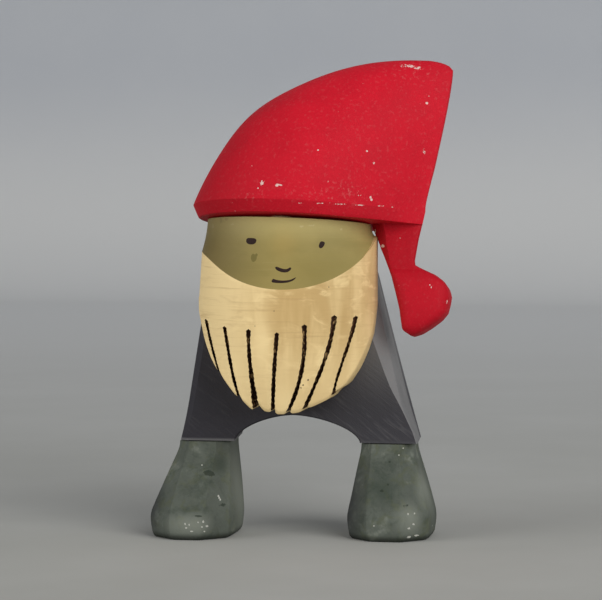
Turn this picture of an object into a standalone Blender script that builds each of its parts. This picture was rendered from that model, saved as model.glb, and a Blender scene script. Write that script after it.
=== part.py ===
"""Carved nisse figure: a plank body on two boots, a half-round head with a sawn beard, and a folded cap.

The figure stands on the floor at Z = 0 and faces -Y. Left and right are the viewer's. Sizes are in metres.
It is modelled about the middle of the body plank, then moved so that its box stands centred on the origin.
"""

import math

import bmesh
import bpy
import numpy as np
from mathutils import Vector

# Body: a sawn plank that narrows upwards, with two leg stubs and an arch between them
LEG_HALF_SPAN = 0.0412
BODY_TOP_HALF_WIDTH = 0.0253
BODY_THICKNESS = 0.0300
BODY_LEAN = math.radians(2.0)
LEG_FLARE = 0.0008
LEG_FLARE_HEIGHT = 0.0160
ARCH_HALF_WIDTH = 0.0240
ARCH_RISE = 0.0095
CHAMFER_AT_LEG = 0.0022
CHAMFER_AT_TOP = 0.0100
CHAMFER_AT_TOP_LEFT = 0.0032

# Seat: the sawn plane across the tops of the body and the head, which the cap stands on
SEAT_HEIGHT = 0.1125
SEAT_TILT_BACK = math.radians(5.0)
SEAT_TILT_RIGHT = math.radians(1.4)

# Boots: one carved block under each leg, wider and longer at the sole
BOOT_HEIGHT = 0.0335
BOOT_TOP_WIDTH = 0.0188
BOOT_TOP_LENGTH = 0.0250
BOOT_LEDGE = 0.0010
SOLE_WIDTH = 0.0314
SOLE_SPLAY = 0.0028
SOLE_HEIGHT = 0.0090
SOLE_EDGE = 0.0022
TOE_REACH = 0.0300
HEEL_REACH = 0.0120
INSTEP_BEND = 0.8
SOLE_SQUARENESS = 2.4
BOOT_TOP_SQUARENESS = 3.6

# Head: a half-round block, flat at the back, with the face scooped in above the beard
HEAD_RADIUS = 0.0320
HEAD_DEPTH = 0.0280
HEAD_OFFSET = -0.0015
LIP_HEIGHT = 0.0892
LIP_RISE = 0.0230
LIP_TURN = math.radians(4.5)
LIP_TOP_HEIGHT = 0.1040
FACE_CUT_FRONT = 0.0045
FACE_CUT_SIDE = 0.0026
BEARD_SIDE_HEIGHT = 0.0810
BEARD_ROUND = 0.0358
BEARD_POINT = 1.25
BEARD_TIP_DEPTH = 0.0200
BEARD_SLOPE_HEIGHT = 0.0860

# Beard kerfs: saw cuts right through the block, from the lower edge upwards
KERF_WIDTH = 0.0016
KERFS_PER_SIDE = 3
KERF_TURN = math.radians(20.0)
KERF_TIP_PITCH = 0.0066
KERF_TOP_HEIGHT = 0.0742
KERF_TOP_RISE = 0.0045
KERF_BEND = 1.6

# Cap: a crown that fans out from the fold at its right, an in-sloping rim band, a tail and a bobble
CAP_OVERHANG = 0.0022
CAP_OVERHANG_BACK = 0.0055
CAP_RISE = 0.0534
CAP_FULLNESS = 1.7
CAP_LEAN = math.radians(11.5)
CAP_THINNING = 1.15
FOLD_THICKNESS = 0.0090
TIP_ROUND = 0.0040
RIM_HEIGHT = 0.0046
RIM_INSET = 0.0020
TAIL_GAP = 0.0012
TAIL_WIDTH = 0.0162
TAIL_THICKNESS = 0.0112
TAIL_INSET = 0.0006
TAIL_NECK = 0.0092
TAIL_SLANT = math.radians(20.0)
TAIL_FACET = 0.0046
TAIL_IN_BOBBLE = 0.40
FACET_FADE = 0.35
NOTCH_DROP = 0.0132
BOBBLE_WIDTH = 0.0234
BOBBLE_HEIGHT = 0.0238
BOBBLE_THICKNESS = 0.0165
BOBBLE_INSET = 0.0066
BOBBLE_DROP = 0.0268
BOBBLE_SLANT = math.radians(12.0)

# Dowels and fits
DOWEL_DIAMETER = 0.0080
DOWEL_SINK = 0.0130
HEAD_DOWEL_HALF_SPACING = 0.0130
HEAD_DOWEL_HEIGHT = 0.0875
DOWEL_CLEARANCE = 0.0003
GLUE_GAP = 0.0003
OVERCUT = 0.0060
BLADE_REACH = 4

# Facets
DOWEL_SIDES = 24
BOOT_SIDES = 36
BOOT_STEPS = 5
SOLE_EDGE_SHARES = (0, 0.15, 0.5, 1)
HEAD_COLUMNS = 36
HEAD_ROWS = 10
LIP_ROW = 6
KERF_STEPS = 6
CROWN_STEPS = 12
BOBBLE_SIDES = 24
BOBBLE_ROWS = 14
FOLD_STEPS = 6
NOSE_STEPS = 8
ARCH_STEPS = 16
SIDE_STEPS = 8
SMOOTH_ANGLE = math.radians(35)
WELD = 1e-6

# Places worked out from the sizes above
LEG_BOTTOM = BOOT_HEIGHT + GLUE_GAP
BOOT_MIDDLE = (LEG_HALF_SPAN + ARCH_HALF_WIDTH) / 2
BODY_FRONT = -BODY_THICKNESS / 2
HEAD_BACK = BODY_FRONT - GLUE_GAP
FOLD_X = HEAD_RADIUS - FACE_CUT_SIDE + TAIL_GAP + TAIL_WIDTH
NOSE_X = HEAD_RADIUS + CAP_OVERHANG


def clear_scene():
    """Removes every object that the scene starts with."""
    for obj in list(bpy.data.objects):
        bpy.data.objects.remove(obj)


def collection_named(name):
    """A new collection in the scene."""
    collection = bpy.data.collections.new(name)
    bpy.context.scene.collection.children.link(collection)
    return collection


def wood(name, colour, roughness):
    """A Principled material for painted or bare wood."""
    material = bpy.data.materials.new(name)
    material.use_nodes = True
    shader = material.node_tree.nodes["Principled BSDF"]
    shader.inputs["Base Color"].default_value = (*colour, 1)
    shader.inputs["Roughness"].default_value = roughness
    shader.inputs["Metallic"].default_value = 0
    return material


def finish_mesh(bm, name):
    """Welds a bmesh, turns its faces outwards and makes a mesh that is smooth but for its sharp edges."""
    bmesh.ops.remove_doubles(bm, verts=bm.verts[:], dist=WELD)
    bmesh.ops.dissolve_degenerate(bm, edges=bm.edges[:], dist=WELD)
    bmesh.ops.recalc_face_normals(bm, faces=bm.faces[:])
    mesh = bpy.data.meshes.new(name)
    bm.to_mesh(mesh)
    bm.free()
    mesh.shade_smooth()
    mesh.set_sharp_from_angle(angle=SMOOTH_ANGLE)
    return mesh


def place(name, mesh, collection, parent):
    """Adds a mesh to a collection as an object under a parent empty."""
    obj = bpy.data.objects.new(name, mesh)
    collection.objects.link(obj)
    obj.parent = parent
    return obj


def place_cutter(name, mesh, parent):
    """Adds a helper solid that only cuts or joins."""
    obj = place(name, mesh, cutters, parent)
    obj.hide_render = True
    obj.display_type = "WIRE"
    return obj


def boolean(part, other, operation="DIFFERENCE"):
    """Cuts a solid out of a part, or joins one to it."""
    modifier = part.modifiers.new(f"{operation.lower()} {other.name}", "BOOLEAN")
    modifier.object = other
    modifier.operation = operation
    modifier.solver = "EXACT"


def loft(name, rings):
    """A closed solid through rings of equally many points, with a flat face on the first and the last."""
    bm = bmesh.new()
    rows = [[bm.verts.new(point) for point in ring] for ring in rings]
    count = len(rows[0])
    for lower, upper in zip(rows, rows[1:]):
        for i in range(count):
            following = (i + 1) % count
            bm.faces.new((lower[i], lower[following], upper[following], upper[i]))
    bm.faces.new(rows[0])
    bm.faces.new(rows[-1])
    return finish_mesh(bm, name)


def outline_solid(name, outline, thickness, middle):
    """A flat outline of (x, z) points as a 2D curve, extruded along Y about a middle plane, made a mesh."""
    curve = bpy.data.curves.new(name, "CURVE")
    curve.dimensions = "2D"
    curve.fill_mode = "BOTH"
    curve.extrude = thickness / 2
    spline = curve.splines.new("POLY")
    spline.points.add(len(outline) - 1)
    for point, (x, z) in zip(spline.points, outline):
        point.co = (x, z, 0, 1)
    spline.use_cyclic_u = True
    drawn = bpy.data.objects.new(name, curve)
    bpy.context.scene.collection.objects.link(drawn)
    drawn.rotation_euler.x = math.radians(90)
    drawn.location.y = middle
    bpy.context.view_layer.update()
    mesh = bpy.data.meshes.new_from_object(drawn.evaluated_get(bpy.context.evaluated_depsgraph_get()))
    mesh.transform(drawn.matrix_world)
    bpy.data.objects.remove(drawn)
    bpy.data.curves.remove(curve)
    bm = bmesh.new()
    bm.from_mesh(mesh)
    return finish_mesh(bm, name)


def rod(name, radius, start, end):
    """A round rod between two points."""
    start, end = Vector(start), Vector(end)
    bm = bmesh.new()
    bmesh.ops.create_cone(
        bm, cap_ends=True, segments=DOWEL_SIDES, radius1=radius, radius2=radius, depth=(end - start).length
    )
    turn = (end - start).to_track_quat("Z", "Y").to_matrix().to_4x4()
    bm.transform(turn)
    bmesh.ops.translate(bm, verts=bm.verts[:], vec=(start + end) / 2)
    return finish_mesh(bm, name)


def dowel(name, middle, direction, first, second, parent):
    """A dowel sunk equally into two parts, with a clear hole for it in both."""
    middle, direction = Vector(middle), Vector(direction)
    reach = direction * (DOWEL_SINK + GLUE_GAP / 2)
    pin = place(name, rod(name, DOWEL_DIAMETER / 2, middle - reach, middle + reach), parts, parent)
    pin.data.materials.append(beech)
    bottom = reach + direction * DOWEL_CLEARANCE
    hole_mesh = rod(f"{name}_hole", DOWEL_DIAMETER / 2 + DOWEL_CLEARANCE, middle - bottom, middle + bottom)
    hole = place_cutter(f"{name}_hole", hole_mesh, parent)
    boolean(first, hole)
    boolean(second, hole)


def knife_cut(name, part, corner, edge_side, edge_end, outside, parent):
    """Slices off what lies beyond the plane through three points, on the side of a point outside."""
    corner, edge_side, edge_end = Vector(corner), Vector(edge_side), Vector(edge_end)
    normal = (edge_side - corner).cross(edge_end - corner).normalized()
    if normal.dot(Vector(outside) - corner) < 0:
        normal.negate()
    size = BLADE_REACH * (edge_end - corner).length
    bm = bmesh.new()
    bmesh.ops.create_cube(bm, size=size)
    bm.transform(normal.to_track_quat("Z", "Y").to_matrix().to_4x4())
    bmesh.ops.translate(bm, verts=bm.verts[:], vec=(corner + edge_end) / 2 + normal * size / 2)
    boolean(part, place_cutter(name, finish_mesh(bm, name), parent))


def body_half_width(z):
    """A straight taper from the legs to the top, with a short flare at the foot of each leg."""
    share = (z - LEG_BOTTOM) / (SEAT_HEIGHT - LEG_BOTTOM)
    flare = max(0.0, 1 - (z - LEG_BOTTOM) / LEG_FLARE_HEIGHT)
    straight = LEG_HALF_SPAN - LEG_FLARE + (BODY_TOP_HALF_WIDTH - LEG_HALF_SPAN + LEG_FLARE) * share
    return straight + LEG_FLARE * flare**2


def body_side(z, right):
    """Where the plank's left (-1) or right (1) side is at a height, with the plank's slight lean."""
    return right * body_half_width(z) - (z - LEG_BOTTOM) * math.tan(BODY_LEAN)


def build_body():
    """The plank: tapered sides, an arch of half an ellipse, and a knife-cut chamfer up each long edge."""
    top = SEAT_HEIGHT + OVERCUT
    heights = [*np.linspace(LEG_BOTTOM, LEG_BOTTOM + LEG_FLARE_HEIGHT, SIDE_STEPS), top]
    sides = [(body_side(z, 1), z) for z in heights] + [(body_side(z, -1), z) for z in reversed(heights)]
    turns = np.linspace(math.pi, 0, ARCH_STEPS + 1)
    arch = [(ARCH_HALF_WIDTH * math.cos(a), LEG_BOTTOM + ARCH_RISE * math.sin(a)) for a in turns]
    body = place("body", outline_solid("body", sides + arch, BODY_THICKNESS, 0), parts, figure)
    body.data.materials.append(blue_grey)
    for side_name, right, top_cut in (("left", -1, CHAMFER_AT_TOP_LEFT), ("right", 1, CHAMFER_AT_TOP)):
        for face_name, back in (("front", -1), ("back", 1)):
            low, high = body_side(LEG_BOTTOM, right), body_side(top, right)
            face = back * BODY_THICKNESS / 2
            knife_cut(
                f"body_chamfer_{face_name}_{side_name}",
                body,
                (low - right * CHAMFER_AT_LEG, face, LEG_BOTTOM),
                (low, face - back * CHAMFER_AT_LEG, LEG_BOTTOM),
                (high - right * top_cut, face, top),
                (low, face, LEG_BOTTOM),
                figure,
            )
    return body


def boot_ring(z, side):
    """A boot's rounded outline at a height: straight flanks from the top down, then an upright sole."""
    rise = max(0.0, (z - SOLE_HEIGHT) / (BOOT_HEIGHT - SOLE_HEIGHT))
    edge = SOLE_EDGE * (1 - math.sqrt(1 - max(0.0, 1 - z / SOLE_EDGE) ** 2))
    half_width = (SOLE_WIDTH + (BOOT_TOP_WIDTH - SOLE_WIDTH) * rise) / 2 - edge
    top_front = BODY_FRONT - BOOT_LEDGE
    front = -TOE_REACH + (top_front + TOE_REACH) * rise**INSTEP_BEND + edge
    back = HEEL_REACH + (top_front + BOOT_TOP_LENGTH - HEEL_REACH) * rise - edge
    middle = BOOT_MIDDLE + SOLE_SPLAY * (1 - rise)
    square = SOLE_SQUARENESS + (BOOT_TOP_SQUARENESS - SOLE_SQUARENESS) * rise
    turns = np.arange(BOOT_SIDES) * 2 * math.pi / BOOT_SIDES
    across = np.sign(np.cos(turns)) * np.abs(np.cos(turns)) ** (2 / square)
    along = np.sign(np.sin(turns)) * np.abs(np.sin(turns)) ** (2 / square)
    x = side * (middle + half_width * across)
    y = (front + back) / 2 + (back - front) / 2 * along
    return [(px, py, z) for px, py in zip(x, y)]


def build_boot(name, side):
    """A boot as a loft from its rounded sole to the flat top that the leg stands on."""
    edge = [SOLE_EDGE * share for share in SOLE_EDGE_SHARES]
    heights = edge + list(np.linspace(SOLE_HEIGHT, BOOT_HEIGHT, BOOT_STEPS))
    boot = place(name, loft(name, [boot_ring(z, side) for z in heights]), parts, figure)
    boot.data.materials.append(grey_green)
    return boot


def beard_bottom(turn):
    """The height of the beard's sawn lower edge: a half-round that is drawn in a little at the sides."""
    return BEARD_SIDE_HEIGHT - BEARD_ROUND * max(0.0, math.cos(turn)) ** BEARD_POINT


def head_depth(z):
    """How far the block stands out at its middle: full above, drawn in towards the beard's tips."""
    tip = beard_bottom(0)
    share = min(max((BEARD_SLOPE_HEIGHT - z) / (BEARD_SLOPE_HEIGHT - tip), 0.0), 1.0)
    return HEAD_DEPTH - (HEAD_DEPTH - BEARD_TIP_DEPTH) * share**2


def head_point(across, up, out):
    """A point of the block: across is -1 to 1 round its front, up 0 to 1, out 0 behind and 1 in front."""
    turn = across * math.pi / 2
    lip = min(LIP_HEIGHT + LIP_RISE * (1 - math.cos(turn - LIP_TURN)), LIP_TOP_HEIGHT)
    lip_share = LIP_ROW / HEAD_ROWS
    if up <= lip_share:
        low = beard_bottom(turn)
        z = low + (lip - low) * up / lip_share
        cut = 0.0
    else:
        share = (up - lip_share) / (1 - lip_share)
        z = lip + (SEAT_HEIGHT + OVERCUT - lip) * share
        cut = 1 - (1 - share) ** 2
    x = HEAD_OFFSET + (HEAD_RADIUS - FACE_CUT_SIDE * cut) * math.sin(turn)
    depth = (head_depth(z) - FACE_CUT_FRONT * cut) * math.cos(turn)
    return Vector((x, HEAD_BACK - depth * out, z))


def kerf_sheets(name):
    """The middle sheets of all the kerfs: each leaves the lower edge slanted and bends upright to its top."""
    bm = bmesh.new()
    front = HEAD_BACK - HEAD_DEPTH - OVERCUT
    for i in range(-KERFS_PER_SIDE, KERFS_PER_SIDE + 1):
        top_x = HEAD_RADIUS * math.sin(i * KERF_TURN)
        top_z = KERF_TOP_HEIGHT + KERF_TOP_RISE * (i / KERFS_PER_SIDE) ** 2
        tip_x = i * KERF_TIP_PITCH
        tip_z = beard_bottom(math.asin(tip_x / HEAD_RADIUS)) - KERF_WIDTH
        shares = np.linspace(0, 1, KERF_STEPS + 1)
        path = [
            (HEAD_OFFSET + top_x + (tip_x - top_x) * share**KERF_BEND, front, top_z + (tip_z - top_z) * share)
            for share in shares
        ]
        verts = [bm.verts.new(point) for point in path]
        edges = [bm.edges.new(pair) for pair in zip(verts, verts[1:])]
        swept = bmesh.ops.extrude_edge_only(bm, edges=edges)["geom"]
        far = [item for item in swept if isinstance(item, bmesh.types.BMVert)]
        bmesh.ops.translate(bm, verts=far, vec=(0, HEAD_BACK - front + KERF_WIDTH, 0))
    mesh = bpy.data.meshes.new(name)
    bm.to_mesh(mesh)
    bm.free()
    return mesh


def build_head():
    """The half-round block: a flat grid on its back, drawn out to the carved front, sawn into strands."""
    bm = bmesh.new()
    bmesh.ops.create_grid(bm, x_segments=HEAD_COLUMNS, y_segments=HEAD_ROWS, size=1)
    back = bm.verts[:]
    drawn = bmesh.ops.extrude_face_region(bm, geom=bm.faces[:], use_keep_orig=True)["geom"]
    front = [item for item in drawn if isinstance(item, bmesh.types.BMVert)]
    for verts, out in ((back, 0), (front, 1)):
        for vert in verts:
            vert.co = head_point(vert.co.x, (vert.co.y + 1) / 2, out)
    head = place("head", finish_mesh(bm, "head"), parts, figure)
    head.data.materials.append(birch)
    kerfs = place_cutter("beard_kerfs", kerf_sheets("beard_kerfs"), figure)
    blade = kerfs.modifiers.new("saw blade", "SOLIDIFY")
    blade.thickness = KERF_WIDTH
    blade.offset = 0
    boolean(head, kerfs)
    return head


def crown_ring(turn):
    """The crown's section in a plane through the fold, turned up from the rim: a pear shape that thins."""
    full_turn = math.pi / 2 + CAP_LEAN
    past_top = max(0.0, turn - math.pi / 2) / CAP_LEAN
    spread = max(0.0, 1 - turn / (math.pi / 2)) ** CAP_FULLNESS
    reach = CAP_RISE + (FOLD_X + NOSE_X - CAP_RISE) * spread - TIP_ROUND * past_top**2
    widest = FOLD_X / (FOLD_X + NOSE_X)
    thinning = math.cos(turn / full_turn * math.pi / 2) ** CAP_THINNING
    edge = FOLD_THICKNESS / 2
    front = edge + (HEAD_DEPTH + CAP_OVERHANG - edge) * thinning
    back = edge + (BODY_THICKNESS + CAP_OVERHANG_BACK - edge) * thinning
    flank = [k / FOLD_STEPS for k in range(FOLD_STEPS)]
    nose = [k / NOSE_STEPS * math.pi / 2 for k in range(NOSE_STEPS + 1)]
    half = [(widest * k, math.sin(k * math.pi / 2), 1) for k in flank]
    half += [(widest + (1 - widest) * math.sin(b), math.cos(b), 0) for b in nose]
    front_half = [(s, -(edge * wall + (front - edge * wall) * h)) for s, h, wall in half]
    back_half = [(s, edge * wall + (back - edge * wall) * h) for s, h, wall in reversed(half[:-1])]
    return [
        Vector((FOLD_X - reach * s * math.cos(turn), y, RIM_HEIGHT + reach * s * math.sin(turn)))
        for s, y in front_half + back_half
    ]


def build_crown(name):
    """The crown as a fan of sections about the fold, above a rim band that slopes in to the underside."""
    crease = crown_ring(0)
    shrink = 1 - RIM_INSET / NOSE_X
    underside = [Vector((p.x * shrink, p.y * shrink, 0)) for p in crease]
    turns = np.linspace(0, math.pi / 2 + CAP_LEAN, CROWN_STEPS + 1)
    return loft(name, [underside] + [crown_ring(turn) for turn in turns])


def tail_edge(drop):
    """Where the tail's left edge is at a depth below the seat: clear of the head, slanting out."""
    return FOLD_X - TAIL_WIDTH + drop * math.tan(TAIL_SLANT)


def build_cap():
    """The cap: crown, hanging tail with a facet down its left front edge, and a bobble cut flat at left."""
    cap = place("cap", build_crown("cap"), parts, seat)
    cap.data.materials.append(red)
    top = RIM_HEIGHT + OVERCUT
    right = FOLD_X - TAIL_INSET
    end = BOBBLE_DROP + BOBBLE_HEIGHT / 2 * TAIL_IN_BOBBLE
    outline = [
        (tail_edge(0), top),
        (tail_edge(0), 0),
        (tail_edge(end), -end),
        (tail_edge(end) + TAIL_NECK / 2, -end),
        (tail_edge(NOTCH_DROP) + TAIL_NECK, -NOTCH_DROP),
        (right, RIM_HEIGHT),
        (right, top),
    ]
    tail_mesh = outline_solid("cap_tail", outline, TAIL_THICKNESS, 0)
    tail = place_cutter("cap_tail", tail_mesh, seat)
    face = -TAIL_THICKNESS / 2
    knife_cut(
        "cap_tail_facet",
        tail,
        (tail_edge(0) + TAIL_FACET, face, 0),
        (tail_edge(0), face + TAIL_FACET, 0),
        (tail_edge(NOTCH_DROP) + TAIL_FACET * FACET_FADE, face, -NOTCH_DROP),
        (tail_edge(0), face, 0),
        seat,
    )
    boolean(cap, tail, "UNION")
    bm = bmesh.new()
    bmesh.ops.create_uvsphere(bm, u_segments=BOBBLE_SIDES, v_segments=BOBBLE_ROWS, radius=0.5)
    bmesh.ops.scale(bm, verts=bm.verts[:], vec=(BOBBLE_WIDTH, BOBBLE_THICKNESS, BOBBLE_HEIGHT))
    bobble = place_cutter("cap_bobble", finish_mesh(bm, "cap_bobble"), seat)
    edge = tail_edge(BOBBLE_DROP)
    bobble.location = (edge + BOBBLE_INSET, 0, -BOBBLE_DROP)
    knife_cut(
        "cap_bobble_side",
        bobble,
        (edge, 0, -BOBBLE_DROP),
        (edge, BOBBLE_THICKNESS, -BOBBLE_DROP),
        (edge + BOBBLE_HEIGHT * math.tan(BOBBLE_SLANT), 0, -BOBBLE_DROP - BOBBLE_HEIGHT),
        (edge - BOBBLE_INSET, 0, -BOBBLE_DROP),
        seat,
    )
    boolean(cap, bobble, "UNION")
    return cap


def cut_seat(*blocks):
    """Saws the tops of the body and the head to the cap's seat, a glue gap below it."""
    size = BLADE_REACH * 2 * HEAD_RADIUS
    bm = bmesh.new()
    bmesh.ops.create_cube(bm, size=size)
    bmesh.ops.translate(bm, verts=bm.verts[:], vec=(0, 0, size / 2 - GLUE_GAP))
    saw = place_cutter("seat_saw", finish_mesh(bm, "seat_saw"), seat)
    for block in blocks:
        boolean(block, saw)


def centre_on_origin():
    """Moves the whole figure so that the middle of its box stands on the origin."""
    bpy.context.view_layer.update()
    graph = bpy.context.evaluated_depsgraph_get()
    corners = []
    for obj in parts.objects:
        if obj.type == "MESH":
            solid = obj.evaluated_get(graph)
            mesh = solid.to_mesh()
            corners += [solid.matrix_world @ vert.co for vert in mesh.vertices]
            solid.to_mesh_clear()
    low, high = np.min(corners, axis=0), np.max(corners, axis=0)
    figure.location = (-(low[0] + high[0]) / 2, -(low[1] + high[1]) / 2, -low[2])


clear_scene()
parts = collection_named("nisse_figure")
cutters = collection_named("nisse_figure_cutters")
blue_grey = wood("blue_grey_paint", (0.034, 0.032, 0.040), 0.6)
grey_green = wood("grey_green_paint", (0.100, 0.112, 0.093), 0.6)
birch = wood("bare_birch", (0.640, 0.450, 0.210), 0.6)
red = wood("red_paint", (0.600, 0.020, 0.034), 0.5)
beech = wood("beech_dowel", (0.560, 0.370, 0.200), 0.7)

figure = bpy.data.objects.new("figure", None)
parts.objects.link(figure)
seat = bpy.data.objects.new("cap_seat", None)
parts.objects.link(seat)
seat.parent = figure
seat.location = (HEAD_OFFSET, BODY_FRONT, SEAT_HEIGHT)
seat.rotation_euler = (-SEAT_TILT_BACK, SEAT_TILT_RIGHT, 0)

body = build_body()
head = build_head()
cap = build_cap()
cut_seat(body, head)
for name, side in (("left", -1), ("right", 1)):
    boot = build_boot(f"boot_{name}", side)
    joint = (side * BOOT_MIDDLE, 0, (BOOT_HEIGHT + LEG_BOTTOM) / 2)
    dowel(f"boot_dowel_{name}", joint, (0, 0, 1), boot, body, figure)
    joint = (side * HEAD_DOWEL_HALF_SPACING, (BODY_FRONT + HEAD_BACK) / 2, HEAD_DOWEL_HEIGHT)
    dowel(f"head_dowel_{name}", joint, (0, 1, 0), head, body, figure)
dowel("cap_dowel_back", (0, BODY_THICKNESS / 2, -GLUE_GAP / 2), (0, 0, 1), body, cap, seat)
dowel("cap_dowel_front", (0, -HEAD_DEPTH / 2, -GLUE_GAP / 2), (0, 0, 1), head, cap, seat)
centre_on_origin()
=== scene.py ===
"""Looks of a carved nisse figure: its painted and bare wooden pieces, dressed over the packed model.

Every piece is a surface worked out on a grid in the figure's own frame: metres, Z up, the face towards -Y,
and X = Y = 0 in the middle of the body plank. Left and right are the viewer's. The surfaces are then moved to
where the packed body stands. Tables marked MM are in millimetres.
"""

import math

import bmesh
import bpy
import numpy as np
from bpy.props import FloatProperty, FloatVectorProperty, PointerProperty
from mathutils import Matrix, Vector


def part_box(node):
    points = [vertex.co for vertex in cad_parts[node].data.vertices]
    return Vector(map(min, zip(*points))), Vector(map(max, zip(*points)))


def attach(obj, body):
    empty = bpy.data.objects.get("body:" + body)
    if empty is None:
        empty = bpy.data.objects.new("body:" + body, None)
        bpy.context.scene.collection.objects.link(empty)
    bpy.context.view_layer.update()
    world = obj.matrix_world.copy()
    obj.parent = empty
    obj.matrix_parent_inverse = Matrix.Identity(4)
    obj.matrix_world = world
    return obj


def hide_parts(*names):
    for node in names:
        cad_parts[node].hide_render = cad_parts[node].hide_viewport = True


bl_info = {
    "name": "Carved Nisse Figure",
    "version": (1, 0, 0),
    "blender": (4, 5, 0),
    "location": "View3D > Sidebar > Nisse",
    "description": "Builds the carved and painted pieces of a wooden nisse figure and a studio around it",
    "category": "Add Mesh",
}

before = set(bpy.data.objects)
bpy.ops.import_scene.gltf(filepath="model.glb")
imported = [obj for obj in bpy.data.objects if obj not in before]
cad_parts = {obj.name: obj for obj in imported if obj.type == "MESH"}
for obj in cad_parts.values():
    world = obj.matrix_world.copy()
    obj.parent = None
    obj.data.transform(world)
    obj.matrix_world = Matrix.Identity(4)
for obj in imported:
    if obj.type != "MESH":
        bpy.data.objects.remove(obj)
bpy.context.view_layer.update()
plank_low, plank_high = (np.array(corner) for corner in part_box("body"))
PLANK = np.array([*(plank_low + plank_high)[:2] / 2, 0.0])
MM = 0.001
WELD = 4e-6

# Beard, MM: each kerf's top height, its X as a cubic from the top (0) to the bottom (1), and both widths
KERFS = np.array(
    [
        [77.9, -28.26, 4.43, 0.72, 0.00, 1.60, 1.00],
        [75.9, -20.30, 4.50, -2.60, 2.75, 1.55, 1.40],
        [75.2, -11.02, -1.40, 5.17, -2.45, 1.60, 2.70],
        [74.2, -0.83, -2.69, -0.78, 0.83, 1.65, 1.60],
        [77.0, 8.57, 1.54, -7.12, -1.22, 1.65, 1.80],
        [80.1, 18.37, -1.89, -12.52, 3.68, 1.70, 2.10],
        [79.5, 24.96, -3.92, -8.36, 4.79, 1.50, 1.50],
    ]
)
# Beard, MM: the lower edge of the strands from left to right, as X and height
STRAND_ENDS = np.array(
    [
        [-33.5, 83.0], [-30.9, 76.4], [-29.0, 70.4], [-26.1, 63.9], [-23.3, 58.9], [-22.6, 58.9],
        [-15.8, 50.1], [-15.5, 50.9], [-10.8, 46.3], [-9.2, 49.0], [-6.6, 46.4], [-3.7, 45.7],
        [-3.2, 45.3], [1.0, 45.4], [2.5, 45.5], [6.6, 46.3], [8.9, 47.4], [16.7, 51.2],
        [18.2, 52.8], [21.1, 55.2], [24.9, 61.2], [27.5, 67.2], [29.5, 73.7], [30.5, 83.0],
    ]
)  # fmt: skip
# Cap, MM: right and left edges of the tail and the bobble in the seat's frame, as depth below the seat and X
TAIL_RIGHT = np.array(
    [
        [-4.6, 49.2], [5.5, 47.4], [13.0, 46.5], [14.4, 46.8], [15.2, 48.3], [16.0, 50.2],
        [17.7, 54.2], [19.8, 57.1], [22.1, 58.5], [24.8, 59.1], [27.4, 58.8], [30.5, 58.1],
        [33.0, 56.2], [35.7, 52.9], [38.0, 49.6], [39.2, 46.6],
    ]
)  # fmt: skip
TAIL_LEFT = np.array(
    [
        [0.0, 29.6], [3.7, 31.3], [8.7, 33.7], [11.7, 35.2], [15.0, 36.6], [18.7, 38.1], [23.0, 39.3],
        [29.7, 41.2], [36.4, 42.4], [37.3, 42.8], [38.8, 45.2], [39.2, 46.6],
    ]
)  # fmt: skip
# Body, MM: where the right front facet starts, as height and X
FACET_EDGE = np.array(
    [
        [33.8, 44.2], [37.6, 43.0], [40.5, 41.6], [44.8, 39.6], [49.1, 37.4], [53.0, 35.2], [58.7, 32.9],
        [75.0, 27.0], [112.0, 14.5],
    ]
)  # fmt: skip
# Cap: turn from the rim at which the crown swells, and over how much
BULGE_TURN, BULGE_WIDTH = math.radians(28), math.radians(13)
# Face paint, MM: eyes as X, height, half width, half height and turn in degrees
EYES = np.array([[-10.7, 105.8, 2.05, 1.30, -5.0], [13.8, 104.6, 0.92, 1.42, -18.0]])
# Face paint, MM: strokes as X, height and half width along the brush's way
NOSE_STROKE = np.array(
    [[-1.6, 96.9, 0.48], [-0.4, 96.2, 0.68], [1.4, 95.6, 0.58], [2.6, 95.9, 0.62], [3.7, 96.8, 0.48]]
)
MOUTH_STROKE = np.array(
    [[-2.6, 92.4, 0.86], [-1.2, 92.1, 0.62], [1.2, 91.8, 0.42], [3.6, 92.3, 0.42], [5.6, 93.4, 0.22]]
)
# Boots, MM: side, front of the sole, middle of the top, and how much further out the sole stands
BOOT_STANCE = {"boot_left": (-1, -33.5, 32.6, 2.8), "boot_right": (1, -27.0, 33.3, 1.4)}
# Body: least width of the right front facet, and rounding of the arch's edges
LEAST_FACET, ARCH_EDGE = 0.0004, 0.0005
# Boots: rounding of the brim, and softness of the flanks' start and end as a share of their height
BOOT_BRIM, FLANK_SOFT = 0.0003, 0.035
# Boots: power of the outline at the sole and its gain to the top, and how much less the facets are cut there
BOOT_SQUARE, BOOT_SQUARER, FACET_FALL = 3.4, 1.8, 0.3
# Boots: unevenness as a share of the width, and its wavelength
BOOT_UNEVEN, BOOT_WAVE = 0.012, 0.016
# Beard: shares of a kerf's length up to which the tips are drawn in, and from which the kerf closes
STRAND_TIP, KERF_CLOSE = 0.05, 0.97
# Beard: rounding of the strands' ends, height of the rows at the far sides, least wood in a kerf, and step
# above a kerf
END_ROUND, SIDE_ROWS, KERF_WOOD, KERF_END = 0.0008, 0.002, 0.0006, 0.0002
# Beard: share of a kerf's width that is left, its gain at the top, and the share of the length it takes
KERF_SLIM, KERF_MOUTH, KERF_MOUTH_WAY = 0.84, 0.22, 0.08
# Beard: how nearly a kerf's top closes, share of its depth there, and how far the strands' tips are tucked in
KERF_SHUT, KERF_SHALLOW, TIP_TUCK = 0.97, 0.25, 0.03
# Beard: waves of a kerf's width, as share of it, radians along the kerf, and shift from one kerf to the next
KERF_WAVER = ((0.10, 23, 2.4), (0.12, 97, 0))
# Face: share of its height that the lip's step takes, cut of the ledge's end, and from what cut it is bare
LIP_STEP, LEDGE_CUT, LEDGE_BARE = 0.004, 0.5, 0.05
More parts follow.
